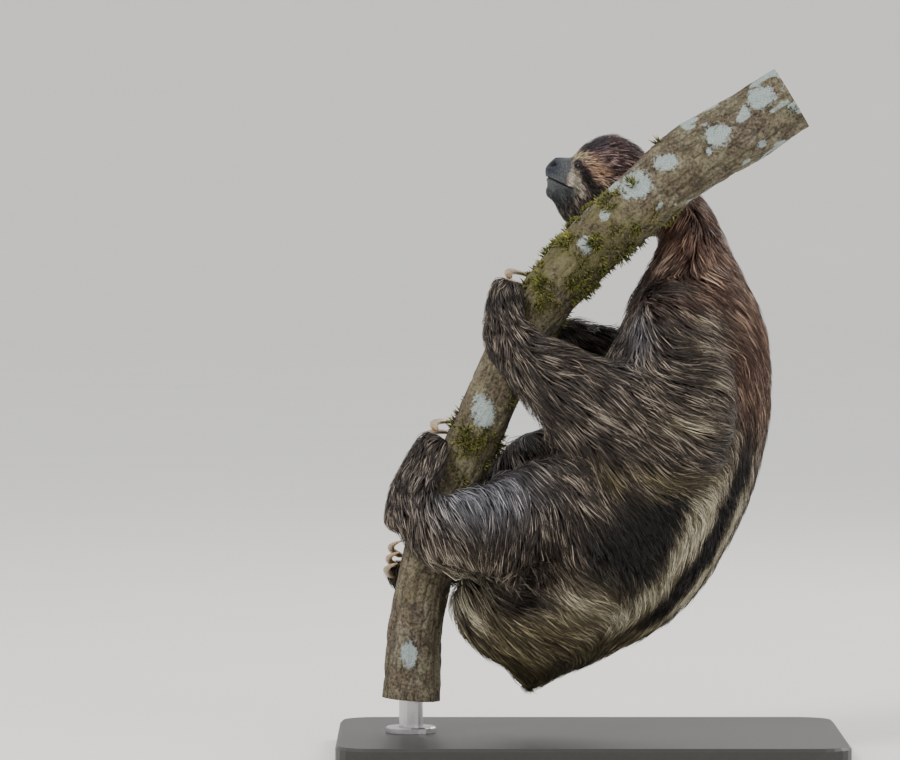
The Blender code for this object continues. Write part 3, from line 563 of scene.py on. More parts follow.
def markings(points, on_trunk, on_head, on_arms):
    """The masks of all markings, painted shade and painted sheen included, from 0 to 1 at each point, in the
    order of MASKS.
    """
    x, y, z = points.T
    turn = round_the_body(points)
    ragged = (layered_noise(points, 90.0, 3, 5) - 0.5) * 12
    above_rump = ease(0.085, 0.120, z)
    stripe = (1 - ease(6.5, 10.0, np.abs(turn + ragged * 0.5))) * ease(0.285, 0.235, z) * above_rump
    away = np.abs(turn + ragged)
    outer_edge = 15.0 + 13.0 * ease(0.265, 0.205, z) - 7.0 * ease(0.0, 20.0, turn)
    cream = ease(7.5, 13.5, away) * ease(4.0, -4.0, away - outer_edge) * on_trunk
    cream *= ease(0.295, 0.245, z) * above_rump * (0.55 + 0.45 * ease(0.255, 0.205, z))
    streaks = 0.45 + 0.75 * layered_noise(points, 160.0, 2, 71)
    cream = np.clip(cream + patches(points, CREAM_PATCHES) * streaks, 0, 1)

    rufous = ease(0.385, 0.425, z + 0.25 * (x - 0.09)) * (1 - on_head)
    rufous = np.maximum(rufous, bump_at(points, (0.088, 0.0, 0.388), (0.054, 0.09, 0.024)))
    rufous = np.maximum(rufous, bump_at(points, (0.140, 0.0, 0.345), (0.026, 0.09, 0.060)))
    rufous = np.maximum(rufous, 0.75 * band(turn, -30.0, 55.0, 12.0) * ease(0.24, 0.30, z) * on_trunk)
    rufous = np.clip(rufous * (0.80 + 0.45 * layered_noise(points, 70.0, 2, 73)), 0, 1)

    # painted shade in the hollows of the near flank, belly and shank, kept off the cream and the arms
    hollow_shade = np.maximum(stroke(points, FLANK_SHADE, 0.010), 0.8 * stroke(points, SHANK_SHADE, 0.008))
    hollow_shade = np.maximum(hollow_shade, 0.85 * stroke(points, BELLY_SHADE, 0.009)) * ease(MIDDLE_Y, -0.02, y)
    hollow_shade *= (1 - np.clip(cream * 1.5, 0, 1)) * (1 - on_arms)
    # painted shade under the fold of the neck's cape over the shoulder, and in the armpit
    fold_shade = band(z - 0.10 * (x - 0.06), 0.384, 0.396, 0.003) * ease(0.100, 0.075, x) * (1 - on_head)
    fold_shade = np.maximum(fold_shade, bump_at(points, (0.038, -0.02, 0.393), (0.010, 0.04, 0.015)))
    armpit_shade = bump_at(points, (0.020, -0.045, 0.338), (0.016, 0.03, 0.014))
    # dark: the back's dark stripe, a real marking, with the painted shade added to it
    dark = np.clip(stripe * on_trunk + hollow_shade + 0.75 * fold_shade + 0.6 * armpit_shade, 0, 1)

    olive = ease(0.175, 0.115, z - 0.25 * (x - 0.02)) * (1 - dark)
    olive *= 0.55 + 0.45 * layered_noise(points, 45.0, 2, 9)
    olive = np.maximum(olive, 0.8 * on_arms * ease(0.246, 0.226, z))
    # painted sheen: the sky's reflection on the hair
    sheen = np.clip(patches(points, SHEEN_PATCHES), 0, 1)

    # the face's markings have slightly wavy edges
    wobble = np.stack([noise(points, 330.0, 51) - 0.5, 0 * y, noise(points, 330.0, 52) - 0.5], axis=1)
    face = points + wobble * 0.0030
    fx, _, fz = face.T
    half = mirrored(points)
    chin = ease(-0.0080, -0.0160, fx) * ease(0.474, 0.470, fz) * (0.30 + 0.70 * ease(0.452, 0.464, fz))
    slate = np.maximum(ease(-0.0150, -0.0190, fx - 0.25 * (fz - 0.480)), chin)
    nose = ease(-0.0200, -0.0285, fx) * ease(0.4790, 0.4850, fz)
    at_eye = bump_at(half, EYE + np.array([0.0010, 0.0, 0.0]), (0.0066, 0.0090, 0.0048))
    brown = np.clip(np.maximum(stroke(face, EYE_STRIPE) * ease(0.010, 0.015, half[:, 1]), 1.6 * at_eye), 0, 1)
    cheek = stroke(face, PALE_CHEEK) * ease(0.006, 0.012, half[:, 1])
    buff = stroke(face, PALE_BROW, 0.0020)
    tan = stroke(face, TAN_PATCH, 0.0040)
    crown = ease(0.4990, 0.5045, fz - 0.10 * fx) * ease(0.024, 0.012, fx)
    on_face = [mask * on_head for mask in (cheek, slate, buff, brown, tan, crown, nose)]
    return np.stack([cream, rufous, dark, olive, sheen, *on_face], axis=1)


def store_marks(mesh, masks):
    for number, name in enumerate(MASK_LAYERS):
        store_colour(mesh, name, masks[:, number * 3 : number * 3 + 3])


def store_colour(mesh, name, values):
    layer = mesh.attributes.new(name, "FLOAT_COLOR", "POINT")
    filled = np.ones((len(values), 4), np.float32)
    filled[:, :3] = values
    layer.data.foreach_set("color", filled.ravel())


def store_number(mesh, name, values):
    layer = mesh.attributes.new(name, "FLOAT", "POINT")
    layer.data.foreach_set("value", np.asarray(values, np.float32))


# ---------------------------------------------------------------- the face, worked into the skin
def bareness(verts, on_head):
    """Where the skin shows through short hair or has none: the muzzle, lips and lids."""
    muzzle = ease(-0.006, -0.016, verts[:, 0])
    return np.clip(muzzle + bump_at(mirrored(verts), EYE, 0.0075), 0, 1) * on_head


def face_relief(verts, normals):
    """The skin's vertices moved into nostrils, nose pad, mouth and lids, and the painted shade in the mouth
    crease and nostrils.
    """
    half = mirrored(verts)
    p = verts + normals * (0.0007 * bump_at(half, (-0.0335, 0.0, 0.4895), (0.0060, 0.0095, 0.0055)))[:, None]
    pit = bump_at(half, NOSTRIL, (0.0025, 0.0030, 0.0027))
    pit += 0.6 * bump_at(half, NOSTRIL + np.array([0.0022, 0.0012, -0.0012]), (0.0020, 0.0022, 0.0010))
    pit = np.clip(pit, 0, 1)
    rim = bump_at(half, NOSTRIL, (0.0042, 0.0046, 0.0042))
    p += normals * (0.0009 * rim - 0.0042 * pit)[:, None]
    # the mouth: a crease from under the nose, back and down to below the eye
    x, _, z = half.T
    below = z - (0.4792 - 0.0108 * np.clip((x + 0.0345) / 0.0225, 0, 1))
    crease = np.exp(-((below / 0.00080) ** 2)) * ease(0.0, -0.0030, x + 0.0105)
    lips = np.exp(-((below / 0.0030) ** 2)) * ease(0.0, -0.0040, x + 0.0105)
    p += normals * (0.0006 * lips - 0.0019 * crease)[:, None]
    for _, sign in EYE_SIDES:
        p = eye_socket(p, sign)
    # the second value is painted shade, darkest in the mouth crease and the nostrils
    return p, np.clip(1.1 * crease + 3.0 * ease(0.1, 0.7, pit), 0, 1)


def eye_socket(verts, sign):
    """Lids: the skin goes over the eyeball, and behind it inside an almond-shaped opening."""
    middle, gaze = eye_middle(sign), eye_gaze(sign)
    front = unit(np.array([-0.90, -sign * 0.42, 0.0]))
    front = unit(front - gaze * (front @ gaze))
    up = np.cross(gaze, front)
    up *= np.sign(up[2])
    away = verts - middle
    distance = np.linalg.norm(away, axis=1)
    direction = away / np.maximum(distance, 1e-9)[:, None]
    facing, u, v = direction @ gaze, direction @ front, direction @ up
    almond = np.sqrt((u / 0.56) ** 2 + ((v - 0.10 * u) / np.where(v > 0, 0.30, 0.24)) ** 2)
    near = ease(2.2, 1.6, distance / EYE_R) * ease(0.10, 0.45, facing)
    lid = EYE_R * (1.10 + 0.07 * np.exp(-(((almond - 1.25) / 0.22) ** 2)))
    # the skin is nowhere inside the eyeball, apart from the opening
    radius = np.where(facing > -0.3, np.maximum(distance, lid), distance)
    radius += (lid - radius) * ease(2.2, 1.25, almond) * near
    radius += (EYE_R * 0.80 - radius) * ease(1.06, 0.94, almond) * near
    return middle + direction * radius[:, None]


# ---------------------------------------------------------------- coat
class Body:
    """The skin with everything that the coat reads from it."""

    def __init__(self):
        self.object, cad, face_owner = make_outline()
        mesh = self.object.data
        outer, tris, edges = arrays_of(mesh)
        self.web = Web(edges, len(outer))
        self.owner = face_owner[cad.nearest(outer)[1]]
        self.outer_normals = vertex_normals(outer, tris)
        fields = coat_fields(outer, self.outer_normals, self.owner, self.web)
        depth, self.length, self.width = fields.T
        skin = sink(outer, tris, self.web, depth)
        skin, crease = face_relief(skin, vertex_normals(skin, tris))
        self.skin, self.outer = Surface(skin, tris), Surface(outer, tris)
        self.soft_normals = unit(self.web.soften(vertex_normals(skin, tris), 6))
        self.flow = lie_of_coat(outer, self.soft_normals, self.owner, self.web)
        room = np.maximum(((outer - skin) * self.soft_normals).sum(1), 0.0004)
        self.room = self.web.soften(room, 3)
        self.on_head = self.share(4, *HEAD)
        self.head_zone = self.on_head * ease(0.460, 0.470, outer[:, 2])
        on_arms = self.share(3, "upper_arm", "forearm")
        self.masks = markings(outer, self.share(3, *TRUNK), self.on_head, on_arms)
        self.fringe = self.web.soften(hanging_fringe(outer, self.outer_normals), 4)
        self.cape = self.web.soften(neck_cape(outer, self.owner), 4)
        self.clearance = distance_to(PERCH_SURFACE, skin)
        self.weight = self.hair_weight()
        mesh.vertices.foreach_set("co", skin.ravel())
        mesh.update()
        store_marks(mesh, self.masks)
        store_number(mesh, "on_head", self.head_zone)
        store_number(mesh, "bare", bareness(skin, self.on_head))
        # the crease values are painted shade in the mouth crease and nostrils
        store_number(mesh, "crease", crease)
        shade_smooth(self.object)

    def share(self, rounds, *parts):
        """1 on the named parts, fading to 0 across their edges."""
        return self.web.soften(belongs(self.owner, *parts).astype(float), rounds)

    def hair_weight(self):
        """How thickly the locks stand: not on muzzle, lips and eyes, and more on head, hands and feet."""
        half = mirrored(self.skin.verts)
        x, _, z = half.T
        bare = bump_at(half, (-0.0350, 0.0, 0.4880), (0.0060, 0.0085, 0.0065)) * 1.6
        open_eye = ease(EYE_R * 1.34, EYE_R * 1.08, np.linalg.norm(half - EYE, axis=1))
        lips = np.exp(-(((z - 0.4755) / 0.0022) ** 2)) * ease(-0.014, -0.022, x)
        muzzle = ease(-0.012, -0.017, x) * ease(0.468, 0.474, z)
        weight = np.clip(1 - bare - open_eye - 0.6 * lips - muzzle, 0, 1)
        return weight * (1 + 1.2 * self.on_head) * (1 + 0.9 * belongs(self.owner, "hand", "foot"))


def distance_to(surface, points):
    return np.linalg.norm(points - surface.nearest(points)[0], axis=1)


PERCH_SURFACE = Surface(*clean_arrays(NODES["perch"]))


def face_areas(verts, tris):
    a, b, c = (verts[tris[:, k]] for k in range(3))
    return np.linalg.norm(np.cross(b - a, c - a), axis=1) / 2


def random_spots(verts, tris, chance, count, rng):
    """Random places on a surface, and the face that each is on; chance is each face's share."""
    faces = rng.choice(len(tris), size=count, p=chance / chance.sum())
    r, s = rng.random(count), rng.random(count)
    flip = r + s > 1
    r[flip], s[flip] = 1 - r[flip], 1 - s[flip]
    a, b, c = (verts[tris[faces, k]] for k in range(3))
    return a + (b - a) * r[:, None] + (c - a) * s[:, None], faces


def scatter(body, members, side, count, rng):
    """Random roots on the skin of some parts; side picks one half of parts that two pieces share."""
    verts, tris = body.skin.verts, body.skin.tris
    mine = belongs(body.owner[tris[:, 0]], *members)
    if side:
        mine &= (verts[tris].mean(1)[:, 1] < MIDDLE_Y) == (side == "left")
    # nothing grows on skin that lies against the perch
    free = ease(0.0010, 0.0040, body.clearance[tris].mean(1))
    chance = face_areas(verts, tris) * mine * body.weight[tris].mean(1) * free
    return random_spots(verts, tris, chance, count, rng)


def grow(body, places, faces, lengths, lifts, pull, rng):
    """The middle line of each lock, from its root in the skin to its tip near the outline."""
    surface = body.skin
    normal = unit(surface.read(body.soft_normals, places, faces))
    heading = unit(surface.read(body.flow, places, faces))
    side = np.cross(normal, heading)
    astray = rng.normal(0, 1, len(places)) * np.where(rng.random(len(places)) < 0.12, 2.4, 1.0) * STRAY
    heading = unit(heading + side * astray[:, None])
    p = places - normal * ROOT_DEPTH
    path, normals = [p], [normal]
    for step in range(1, ROWS + 1):
        q = p + heading * (lengths / ROWS)[:, None]
        spot, face = surface.nearest(q)
        normal = unit(surface.read(body.soft_normals, spot, face))
        height = ((q - spot) * normal).sum(1)
        wanted = surface.read(body.room, spot, face) * lifts * (1 - (1 - step / ROWS) ** 2)
        gap = wanted - height
        q = q + normal * (gap * np.where(gap > 0, 1.0, pull))[:, None]
        flow = unit(surface.read(body.flow, spot, face))
        heading = unit(0.40 * unit(q - p) + 0.60 * flow + np.array([0.0, 0.0, -0.05]))
        path.append(q)
        normals.append(normal)
        p = q
    return np.stack(path, axis=1), np.stack(normals, axis=1)


def gather_tips(path, normals, rng):
    """Draw neighbouring locks together towards their tips, and bend each bunch a little sideways."""
    count = len(path)
    seeds = max(int(count * BUNCH_SHARE), 1)
    tree = KDTree(seeds)
    for number, row in enumerate(rng.choice(count, size=seeds, replace=False)):
        tree.insert(path[row, 0], number)
    tree.balance()
    group = np.array([tree.find(p)[1] for p in path[:, 0].tolist()])
    strength = rng.uniform(0.25, 1.0, seeds)[group] * BUNCH_PULL
    members = np.maximum(np.bincount(group, minlength=seeds), 1)
    bend = rng.normal(0, 1, seeds)[group] * 0.085 + rng.normal(0, 1, count) * 0.055
    reach = np.linalg.norm(path[:, -1] - path[:, 0], axis=1)
    for row in range(1, ROWS + 1):
        t = row / ROWS
        totals = [np.bincount(group, weights=path[:, row, k], minlength=seeds) for k in range(3)]
        middle = (np.stack(totals, axis=1) / members[:, None])[group]
        path[:, row] += (middle - path[:, row]) * (strength * t**1.3)[:, None]
        side = unit(np.cross(normals[:, row], path[:, row] - path[:, row - 1]))
        path[:, row] += side * (bend * reach * t**2)[:, None]
    return path, group, seeds


def keep_inside(body, path, overshoot):
    """Hold the locks to the outline, apart from a little overshoot at their tips."""
    for row in range(1, ROWS + 1):
        spot, face = body.outer.nearest(path[:, row])
        outward = body.outer.read(body.outer_normals, spot, face)
        height = ((path[:, row] - spot) * outward).sum(1)
        path[:, row] -= outward * np.maximum(height - overshoot * (row / ROWS) ** 2, 0)[:, None]
    return path


def lock_faces():
    """Faces of one closed lock of three-cornered rings, with each corner's place in its patch of the map."""
    faces, spots = [[0, 1, 2]], [(0.15, 0.05), (2.85, 0.05), (1.5, 0.9)]
    for row in range(ROWS - 1):
        low, high = row * 3, (row + 1) * 3
        for k in range(3):
            n = (k + 1) % 3
            faces.append([low + k, high + k, high + n, low + n])
            spots += [(k, row + 1), (k, row + 2), (k + 1, row + 2), (k + 1, row + 1)]
    low, tip = (ROWS - 1) * 3, ROWS * 3
    for k in range(3):
        faces.append([low + k, tip, low + (k + 1) % 3])
        spots += [(k, ROWS), (k + 0.5, ROWS + 1), (k + 1, ROWS)]
    return faces, np.array(spots) / (3, ROWS + 1)


def lock_mesh(name, path, normals, widths, rolls, uv, roots, tones):
    """One object of closed locks with their map, root places and tones."""
    count = len(path)
    along = unit(np.gradient(path, axis=1))
    side = unit(np.cross(along, normals))
    up = np.cross(side, along)
    c, s = np.cos(rolls)[:, None, None], np.sin(rolls)[:, None, None]
    side, up = side * c + up * s, up * c - side * s
    corners = np.empty((count, LOCK_CORNERS, 3))
    for row in range(ROWS):
        half = (widths * LOCK_WIDTHS[row] / 2)[:, None]
        corners[:, row * 3] = path[:, row] - side[:, row] * half
        corners[:, row * 3 + 1] = path[:, row] + side[:, row] * half
        corners[:, row * 3 + 2] = path[:, row] + up[:, row] * half * 2 * LOCK_THICK
    corners[:, -1] = path[:, -1]
    faces, spots = lock_faces()
    loops = np.concatenate(faces)[None, :] + (np.arange(count) * LOCK_CORNERS)[:, None]
    totals = np.tile([len(face) for face in faces], count)
    mesh = bpy.data.meshes.new(name)
    mesh.vertices.add(count * LOCK_CORNERS)
    mesh.vertices.foreach_set("co", corners.astype(np.float32).ravel())
    mesh.loops.add(loops.size)
    mesh.loops.foreach_set("vertex_index", loops.ravel().astype(np.int32))
    mesh.polygons.add(len(totals))
    mesh.polygons.foreach_set("loop_start", (np.cumsum(totals) - totals).astype(np.int32))
    mesh.polygons.foreach_set("loop_total", totals.astype(np.int32))
    mesh.polygons.foreach_set("use_smooth", np.ones(len(totals), bool))
    where = uv[:, None, :] * (1 - PATCH) + spots[None, :, :] * PATCH
    mesh.uv_layers.new(name="OFBake").data.foreach_set("uv", where.astype(np.float32).ravel())
    root = mesh.attributes.new("root", "FLOAT_VECTOR", "POINT")
    root.data.foreach_set("vector", np.repeat(roots, LOCK_CORNERS, axis=0).astype(np.float32).ravel())
    store_number(mesh, "tone", np.repeat(tones, LOCK_CORNERS))
    store_number(mesh, "reach", np.tile(np.append(np.repeat(np.arange(ROWS) / ROWS, 3), 1.0), count))
    mesh.update(calc_edges=True)
    mesh.validate()
    return object_of(name, mesh)


def unwrap(body, places, faces, members):
    """Each root's place on an unwrap of the skin: every part is cut along one side and laid out flat."""
    owner = body.owner[body.skin.tris[faces, 0]]
    uv = np.zeros((len(places), 2))
    for number, name in enumerate(members):
        mine = owner == FLESH.index(name)
        cloud = body.skin.verts[body.owner == FLESH.index(name)]
        middle = cloud.mean(0)
        _, _, axes = np.linalg.svd(cloud - middle, full_matrices=False)
        reach = (cloud - middle) @ axes[0]
        long, deep, wide = axes @ (places[mine] - middle).T
        uv[mine, 0] = np.arctan2(deep, wide) / (2 * math.pi) + 0.5
        share = (long - reach.min()) / (reach.max() - reach.min())
        uv[mine, 1] = (number + 0.02 + 0.96 * np.clip(share, 0, 1)) / len(members)
    return np.clip(uv, 0.0, 1.0)


def make_coat(body, name, number):
    members, count = COAT_PIECES[name]
    side = name.rsplit("_", 1)[1] if members[0] in ("thorax", "abdomen") else ""
    rng = np.random.default_rng(SEED + number)
    under = int(count * UNDER_SHARE)
    places, faces = scatter(body, members, side, count, rng)
    fields = [body.length, body.width, body.fringe, body.cape]
    lengths, widths, fringe, cape = (body.skin.read(field, places, faces) for field in fields)
    lengths *= rng.uniform(0.72, 1.22, count)
    widths *= rng.uniform(0.45, 0.95, count)
    lifts = rng.uniform(0.45, 1.0, count)
    # the broad short locks of the undercoat come first
    lengths[:under] *= 0.85
    widths[:under] *= 3.2
    lifts[:under] = rng.uniform(0.25, 0.55, under)
    crest = (name == "coat_head") * bump_at(places, (0.003, HEAD_Y, 0.506), (0.015, 0.030, 0.010))
    lifts += 0.35 * cape + 0.60 * crest
    pull = 0.30 - 0.25 * np.maximum(fringe, 0.6 * cape)
    path, normals = grow(body, places, faces, lengths, lifts, pull, rng)
    path, group, seeds = gather_tips(path, normals, rng)
    overshoot = rng.uniform(0.0, 0.0022, count) + (rng.random(count) < 0.14) * rng.uniform(0, 0.005, count)
    overshoot *= np.clip(lengths / 0.03, 0.2, 1.0)
    overshoot += 0.028 * fringe + 0.004 * cape + 0.006 * crest
    overshoot += 0.007 * bump_at(places, (-0.044, 0.0, 0.058), 0.035)
    path = keep_inside(body, path, overshoot)
    tones = rng.random(count) * 0.66 + rng.random(seeds)[group] * 0.34
    tones[:under] *= 0.35
    rolls = rng.normal(0, 0.35, count)
    uv = unwrap(body, places, faces, members)
    made = lock_mesh(name, path, normals, widths, rolls, uv, places, tones)
    # the markings are read where the lock shows, about two thirds of the way along it
    shown, shown_faces = body.outer.nearest(path[:, SHOWN_ROW])
    masks = body.outer.read(body.masks, shown, shown_faces)
    head_zone = body.outer.read(body.head_zone, shown, shown_faces)
    store_marks(made.data, np.repeat(masks, LOCK_CORNERS, axis=0))
    store_number(made.data, "on_head", np.repeat(head_zone, LOCK_CORNERS))
    made.data.materials.append(COAT_MATERIAL)
    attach(made, "root")


# ---------------------------------------------------------------- materials
def srgb(r, g, b):
    """Linear colour from 0 to 255 screen values."""
    found = []
    for value in (r, g, b):
        v = value / 255
        found.append(v / 12.92 if v <= 0.04045 else ((v + 0.055) / 1.055) ** 2.4)
    return (*found, 1.0)


class Nodes:
    """Short calls for building a node tree."""

    def __init__(self, tree):
        self.tree = tree

    def add(self, kind, **settings):
        node = self.tree.nodes.new(kind)
        for key, value in settings.items():
            setattr(node, key, value)
        return node

    def put(self, socket, value):
        if isinstance(value, bpy.types.NodeSocket):
            self.tree.links.new(value, socket)
        else:
            socket.default_value = value

    def math(self, operation, a, b=0.0, clamp=False):
        node = self.add("ShaderNodeMath", operation=operation, use_clamp=clamp)
        self.put(node.inputs[0], a)
        self.put(node.inputs[1], b)
        return node.outputs[0]

    def plus(self, a, b, share=1.0):
        """a with a share of b added."""
        return self.math("ADD", a, b if share == 1.0 else self.times(b, share))

    def times(self, a, b):
        return self.math("MULTIPLY", a, b)

    def ramp(self, value, low, high):
        node = self.add("ShaderNodeMapRange", interpolation_type="SMOOTHSTEP")
        self.put(node.inputs["Value"], value)
        self.put(node.inputs["From Min"], low)
        self.put(node.inputs["From Max"], high)
        return node.outputs[0]

    def mix(self, share, a, b, blend="MIX"):
        node = self.add("ShaderNodeMix", data_type="RGBA", blend_type=blend)
        self.put(node.inputs[0], share)
        self.put(node.inputs[6], a)
        self.put(node.inputs[7], b)
        return node.outputs[2]

    def noise(self, vector, scale, detail=3.0, roughness=0.55):
        node = self.add("ShaderNodeTexNoise")
        self.put(node.inputs["Vector"], vector)
        self.put(node.inputs["Scale"], scale)
        self.put(node.inputs["Detail"], detail)
        self.put(node.inputs["Roughness"], roughness)
        return node.outputs["Fac"]

    def attribute(self, name, output="Fac"):
        return self.add("ShaderNodeAttribute", attribute_name=name).outputs[output]

    def split(self, name):
        """The three numbers that a colour attribute holds."""
        node = self.add("ShaderNodeSeparateColor")
        self.put(node.inputs[0], self.attribute(name, "Color"))
        return node.outputs[:3]

    def place(self):
        return self.add("ShaderNodeTexCoord").outputs["Object"]

    def upright(self, stretch):
        """The place in the object, with what is read there drawn out along z."""
        node = self.add("ShaderNodeVectorMath", operation="MULTIPLY")
        self.put(node.inputs[0], self.place())
        self.put(node.inputs[1], (1.0, 1.0, stretch))
        return node.outputs[0]

    def show(self, colour, roughness, specular=0.5, metallic=0.0):
        self.set("Base Color", colour)
        self.set("Roughness", roughness)
        self.set("Specular IOR Level", specular)
        self.set("Metallic", metallic)

    def set(self, name, value):
        self.put(self.tree.nodes["Principled BSDF"].inputs[name], value)

    def bump(self, height, distance, strength):
        node = self.add("ShaderNodeBump")
        self.put(node.inputs["Height"], height)
        self.put(node.inputs["Distance"], distance)
        self.put(node.inputs["Strength"], strength)
        self.set("Normal", node.outputs[0])


def new_material(name):
    made = bpy.data.materials.new(name)
    made.use_nodes = True
    return made, Nodes(made.node_tree)


# Colours of the coat's zones: the dark hair beneath and the pale hair over it.
ZONES = {
    "body": (srgb(44, 35, 30), srgb(186, 170, 152)),
    "head": (srgb(62, 41, 41), srgb(210, 178, 170)),
    # painted sheen: bluish pale hair for the sky's reflection
    "sheen": (srgb(94, 93, 99), srgb(212, 213, 221)),
    "rufous": (srgb(76, 48, 37), srgb(206, 167, 140)),
    "olive": (srgb(76, 66, 43), srgb(176, 164, 116)),
    # the back's dark stripe, and painted shade in the hollows, under the neck's fold and in the armpit
    "dark": (srgb(15, 12, 11), srgb(42, 36, 33)),
    "cream": (srgb(112, 102, 80), srgb(222, 214, 188)),
    "tan": (srgb(164, 130, 104), srgb(236, 210, 184)),
    "crown": (srgb(40, 31, 37), srgb(110, 92, 102)),
    "buff": (srgb(170, 152, 118), srgb(224, 212, 180)),
    "cheek": (srgb(124, 116, 101), srgb(196, 187, 168)),
    "slate": (srgb(42, 44, 48), srgb(84, 87, 88)),
    "brown": (srgb(24, 15, 17), srgb(54, 37, 37)),
    "nose": (srgb(20, 23, 30), srgb(50, 56, 68)),
}


def markings_group():
    """The colours of the markings, each zone over those before it: dark, pale, and how fair the place is."""
    group = bpy.data.node_groups.new("markings", "ShaderNodeTree")
    for name, kind in (("Dark", "Color"), ("Pale", "Color"), ("Fair", "Float")):
        group.interface.new_socket(name, in_out="OUTPUT", socket_type=f"NodeSocket{kind}")
    n = Nodes(group)
    end = n.add("NodeGroupOutput")
    found = []
    for name in MASK_LAYERS:
        found += n.split(name)
    mask_of = dict(zip(MASKS, found))
    for pick in (0, 1):
        colour = n.mix(n.attribute("on_head"), ZONES["body"][pick], ZONES["head"][pick])
        for zone in list(ZONES)[2:]:
            colour = n.mix(mask_of[zone], colour, ZONES[zone][pick])
        n.put(end.inputs[pick], colour)
    face = n.math("ADD", n.times(mask_of["tan"], 0.6), n.plus(mask_of["buff"], mask_of["cheek"]))
    n.put(end.inputs[2], n.math("ADD", mask_of["cream"], face, clamp=True))
    return group


def coat_material():
    made, n = new_material("sloth_coat")
    dark, pale, fair = n.add("ShaderNodeGroup", node_tree=MARKINGS).outputs[:3]
    reach = n.attribute("reach")
    patch = n.math("SUBTRACT", n.noise(n.attribute("root", "Vector"), 62.0, 2.0), 0.5)
    amount = n.ramp(n.plus(n.plus(n.attribute("tone"), patch, 0.8), fair, 0.35), 0.48, 1.02)
    amount = n.times(amount, n.plus(n.times(n.ramp(reach, 0.0, 0.6), 0.8), 0.2))
    # locks are darker towards their roots: a darker undercoat, and painted shade deep in the coat
    shade = n.plus(n.times(n.ramp(reach, 0.0, 0.5), 0.6), 0.4)
    n.show(n.mix(1.0, n.mix(amount, dark, pale), shade, "MULTIPLY"), 0.42)
    return made


def skin_material():
    made, n = new_material("sloth_skin")
    dark, pale, _ = n.add("ShaderNodeGroup", node_tree=MARKINGS).outputs[:3]
    place = n.place()
    grain, speck = n.noise(place, 900.0), n.noise(place, 2600.0, 2.0)
    bare = n.attribute("bare")
    colour = n.mix(n.times(bare, n.ramp(grain, 0.30, 0.75)), dark, pale)
    # painted shade: the skin under the coat is darkened to look like the shadow between the hairs; bare skin
    # keeps its colour
    colour = n.mix(1.0, colour, n.plus(n.times(bare, 0.62), 0.38), "MULTIPLY")
    # painted shade: near black in the mouth crease and the nostrils
    n.show(n.mix(n.attribute("crease"), colour, srgb(10, 9, 11)), 0.58, specular=0.25)
    n.bump(n.plus(grain, speck, 0.5), 0.0006, 0.8)
    return made


def eye_material():
    made, n = new_material("sloth_eye")
    flecks = n.ramp(n.noise(n.place(), 1500.0, 2.0), 0.4, 0.7)
    n.show(n.mix(flecks, srgb(12, 7, 6), srgb(30, 18, 12)), 0.10, specular=0.24)
    return made


def claw_material():
    made, n = new_material("claw_horn_fine")
    streak = n.noise(n.upright(0.35), 700.0, 4.0)
    cloud = n.ramp(n.noise(n.place(), 130.0), 0.45, 0.75)
    colour = n.mix(n.ramp(streak, 0.3, 0.75), srgb(122, 96, 66), srgb(190, 166, 126))
    n.show(n.mix(n.times(cloud, 0.6), colour, srgb(84, 62, 44)), 0.38)
    n.bump(streak, 0.0003, 0.6)
    return made


def bark_material():
    made, n = new_material("perch_bark")
    place = n.place()
    moss, lichen, _ = n.split("growth")
    fine, broad = n.noise(place, 420.0, 5.0, 0.65), n.noise(place, 60.0, 4.0)
    speck = n.noise(place, 1500.0, 3.0, 0.6)
    grey = n.mix(n.ramp(fine, 0.3, 0.7), srgb(64, 58, 45), srgb(140, 132, 112))
    colour = n.mix(n.ramp(fine, 0.32, 0.70), srgb(42, 35, 28), srgb(112, 99, 80))
    colour = n.mix(n.ramp(broad, 0.42, 0.66), colour, grey)
    # painted shade: the bark is darker in its clefts
    colour = n.mix(n.times(n.ramp(n.attribute("cleft"), 0.15, 0.85), 0.5), colour, srgb(30, 24, 18))
    moss = n.times(moss, n.ramp(n.plus(fine, broad, 0.6), 0.60, 1.0))
    colour = n.mix(moss, colour, n.mix(n.ramp(speck, 0.3, 0.7), srgb(54, 51, 24), srgb(112, 107, 52)))
    lichen = n.times(n.ramp(n.plus(lichen, n.math("SUBTRACT", fine, 0.5), 0.9), 0.34, 0.62), 0.9)
    colour = n.mix(lichen, colour, n.mix(n.ramp(speck, 0.35, 0.65), srgb(112, 126, 126), srgb(172, 184, 180)))
    n.show(colour, 0.88)
    n.bump(n.plus(fine, speck, 0.45), 0.0012, 0.9)
    return made


def wood_material():
    """The sawn ends of the perch: growth rings and saw marks."""
    made, n = new_material("perch_sawn_wood")
    rings, fine = n.noise(n.upright(0.5), 260.0, 4.0), n.noise(n.place(), 1400.0)
    colour = n.mix(n.ramp(rings, 0.35, 0.65), srgb(150, 122, 84), srgb(196, 172, 130))
    n.show(n.mix(n.times(fine, 0.4), colour, srgb(112, 88, 58)), 0.8)
    n.bump(fine, 0.0003, 0.5)
    return made


def moss_material():
    made, n = new_material("perch_moss")
    colour = n.mix(n.attribute("tone"), srgb(62, 66, 26), srgb(122, 124, 50))
    bright = n.ramp(n.noise(n.attribute("root", "Vector"), 130.0), 0.50, 0.72)
    colour = n.mix(bright, colour, srgb(160, 154, 80))
    n.show(n.mix(n.ramp(n.attribute("reach"), 0.0, 0.8), srgb(38, 36, 20), colour), 0.9)
    return made


def stand_material(name, dark, pale, roughness, metallic, scale):
    made, n = new_material(name)
    grain = n.noise(n.place(), scale, 4.0)
    n.show(n.mix(grain, dark, pale), roughness, metallic=metallic)
    n.bump(grain, 0.0001, 0.35)
    return made


def floor_material():
    made, n = new_material("pale_floor")
    n.show(n.mix(n.noise(n.place(), 3.0), srgb(232, 230, 226), srgb(238, 236, 232)), 0.85)
    return made


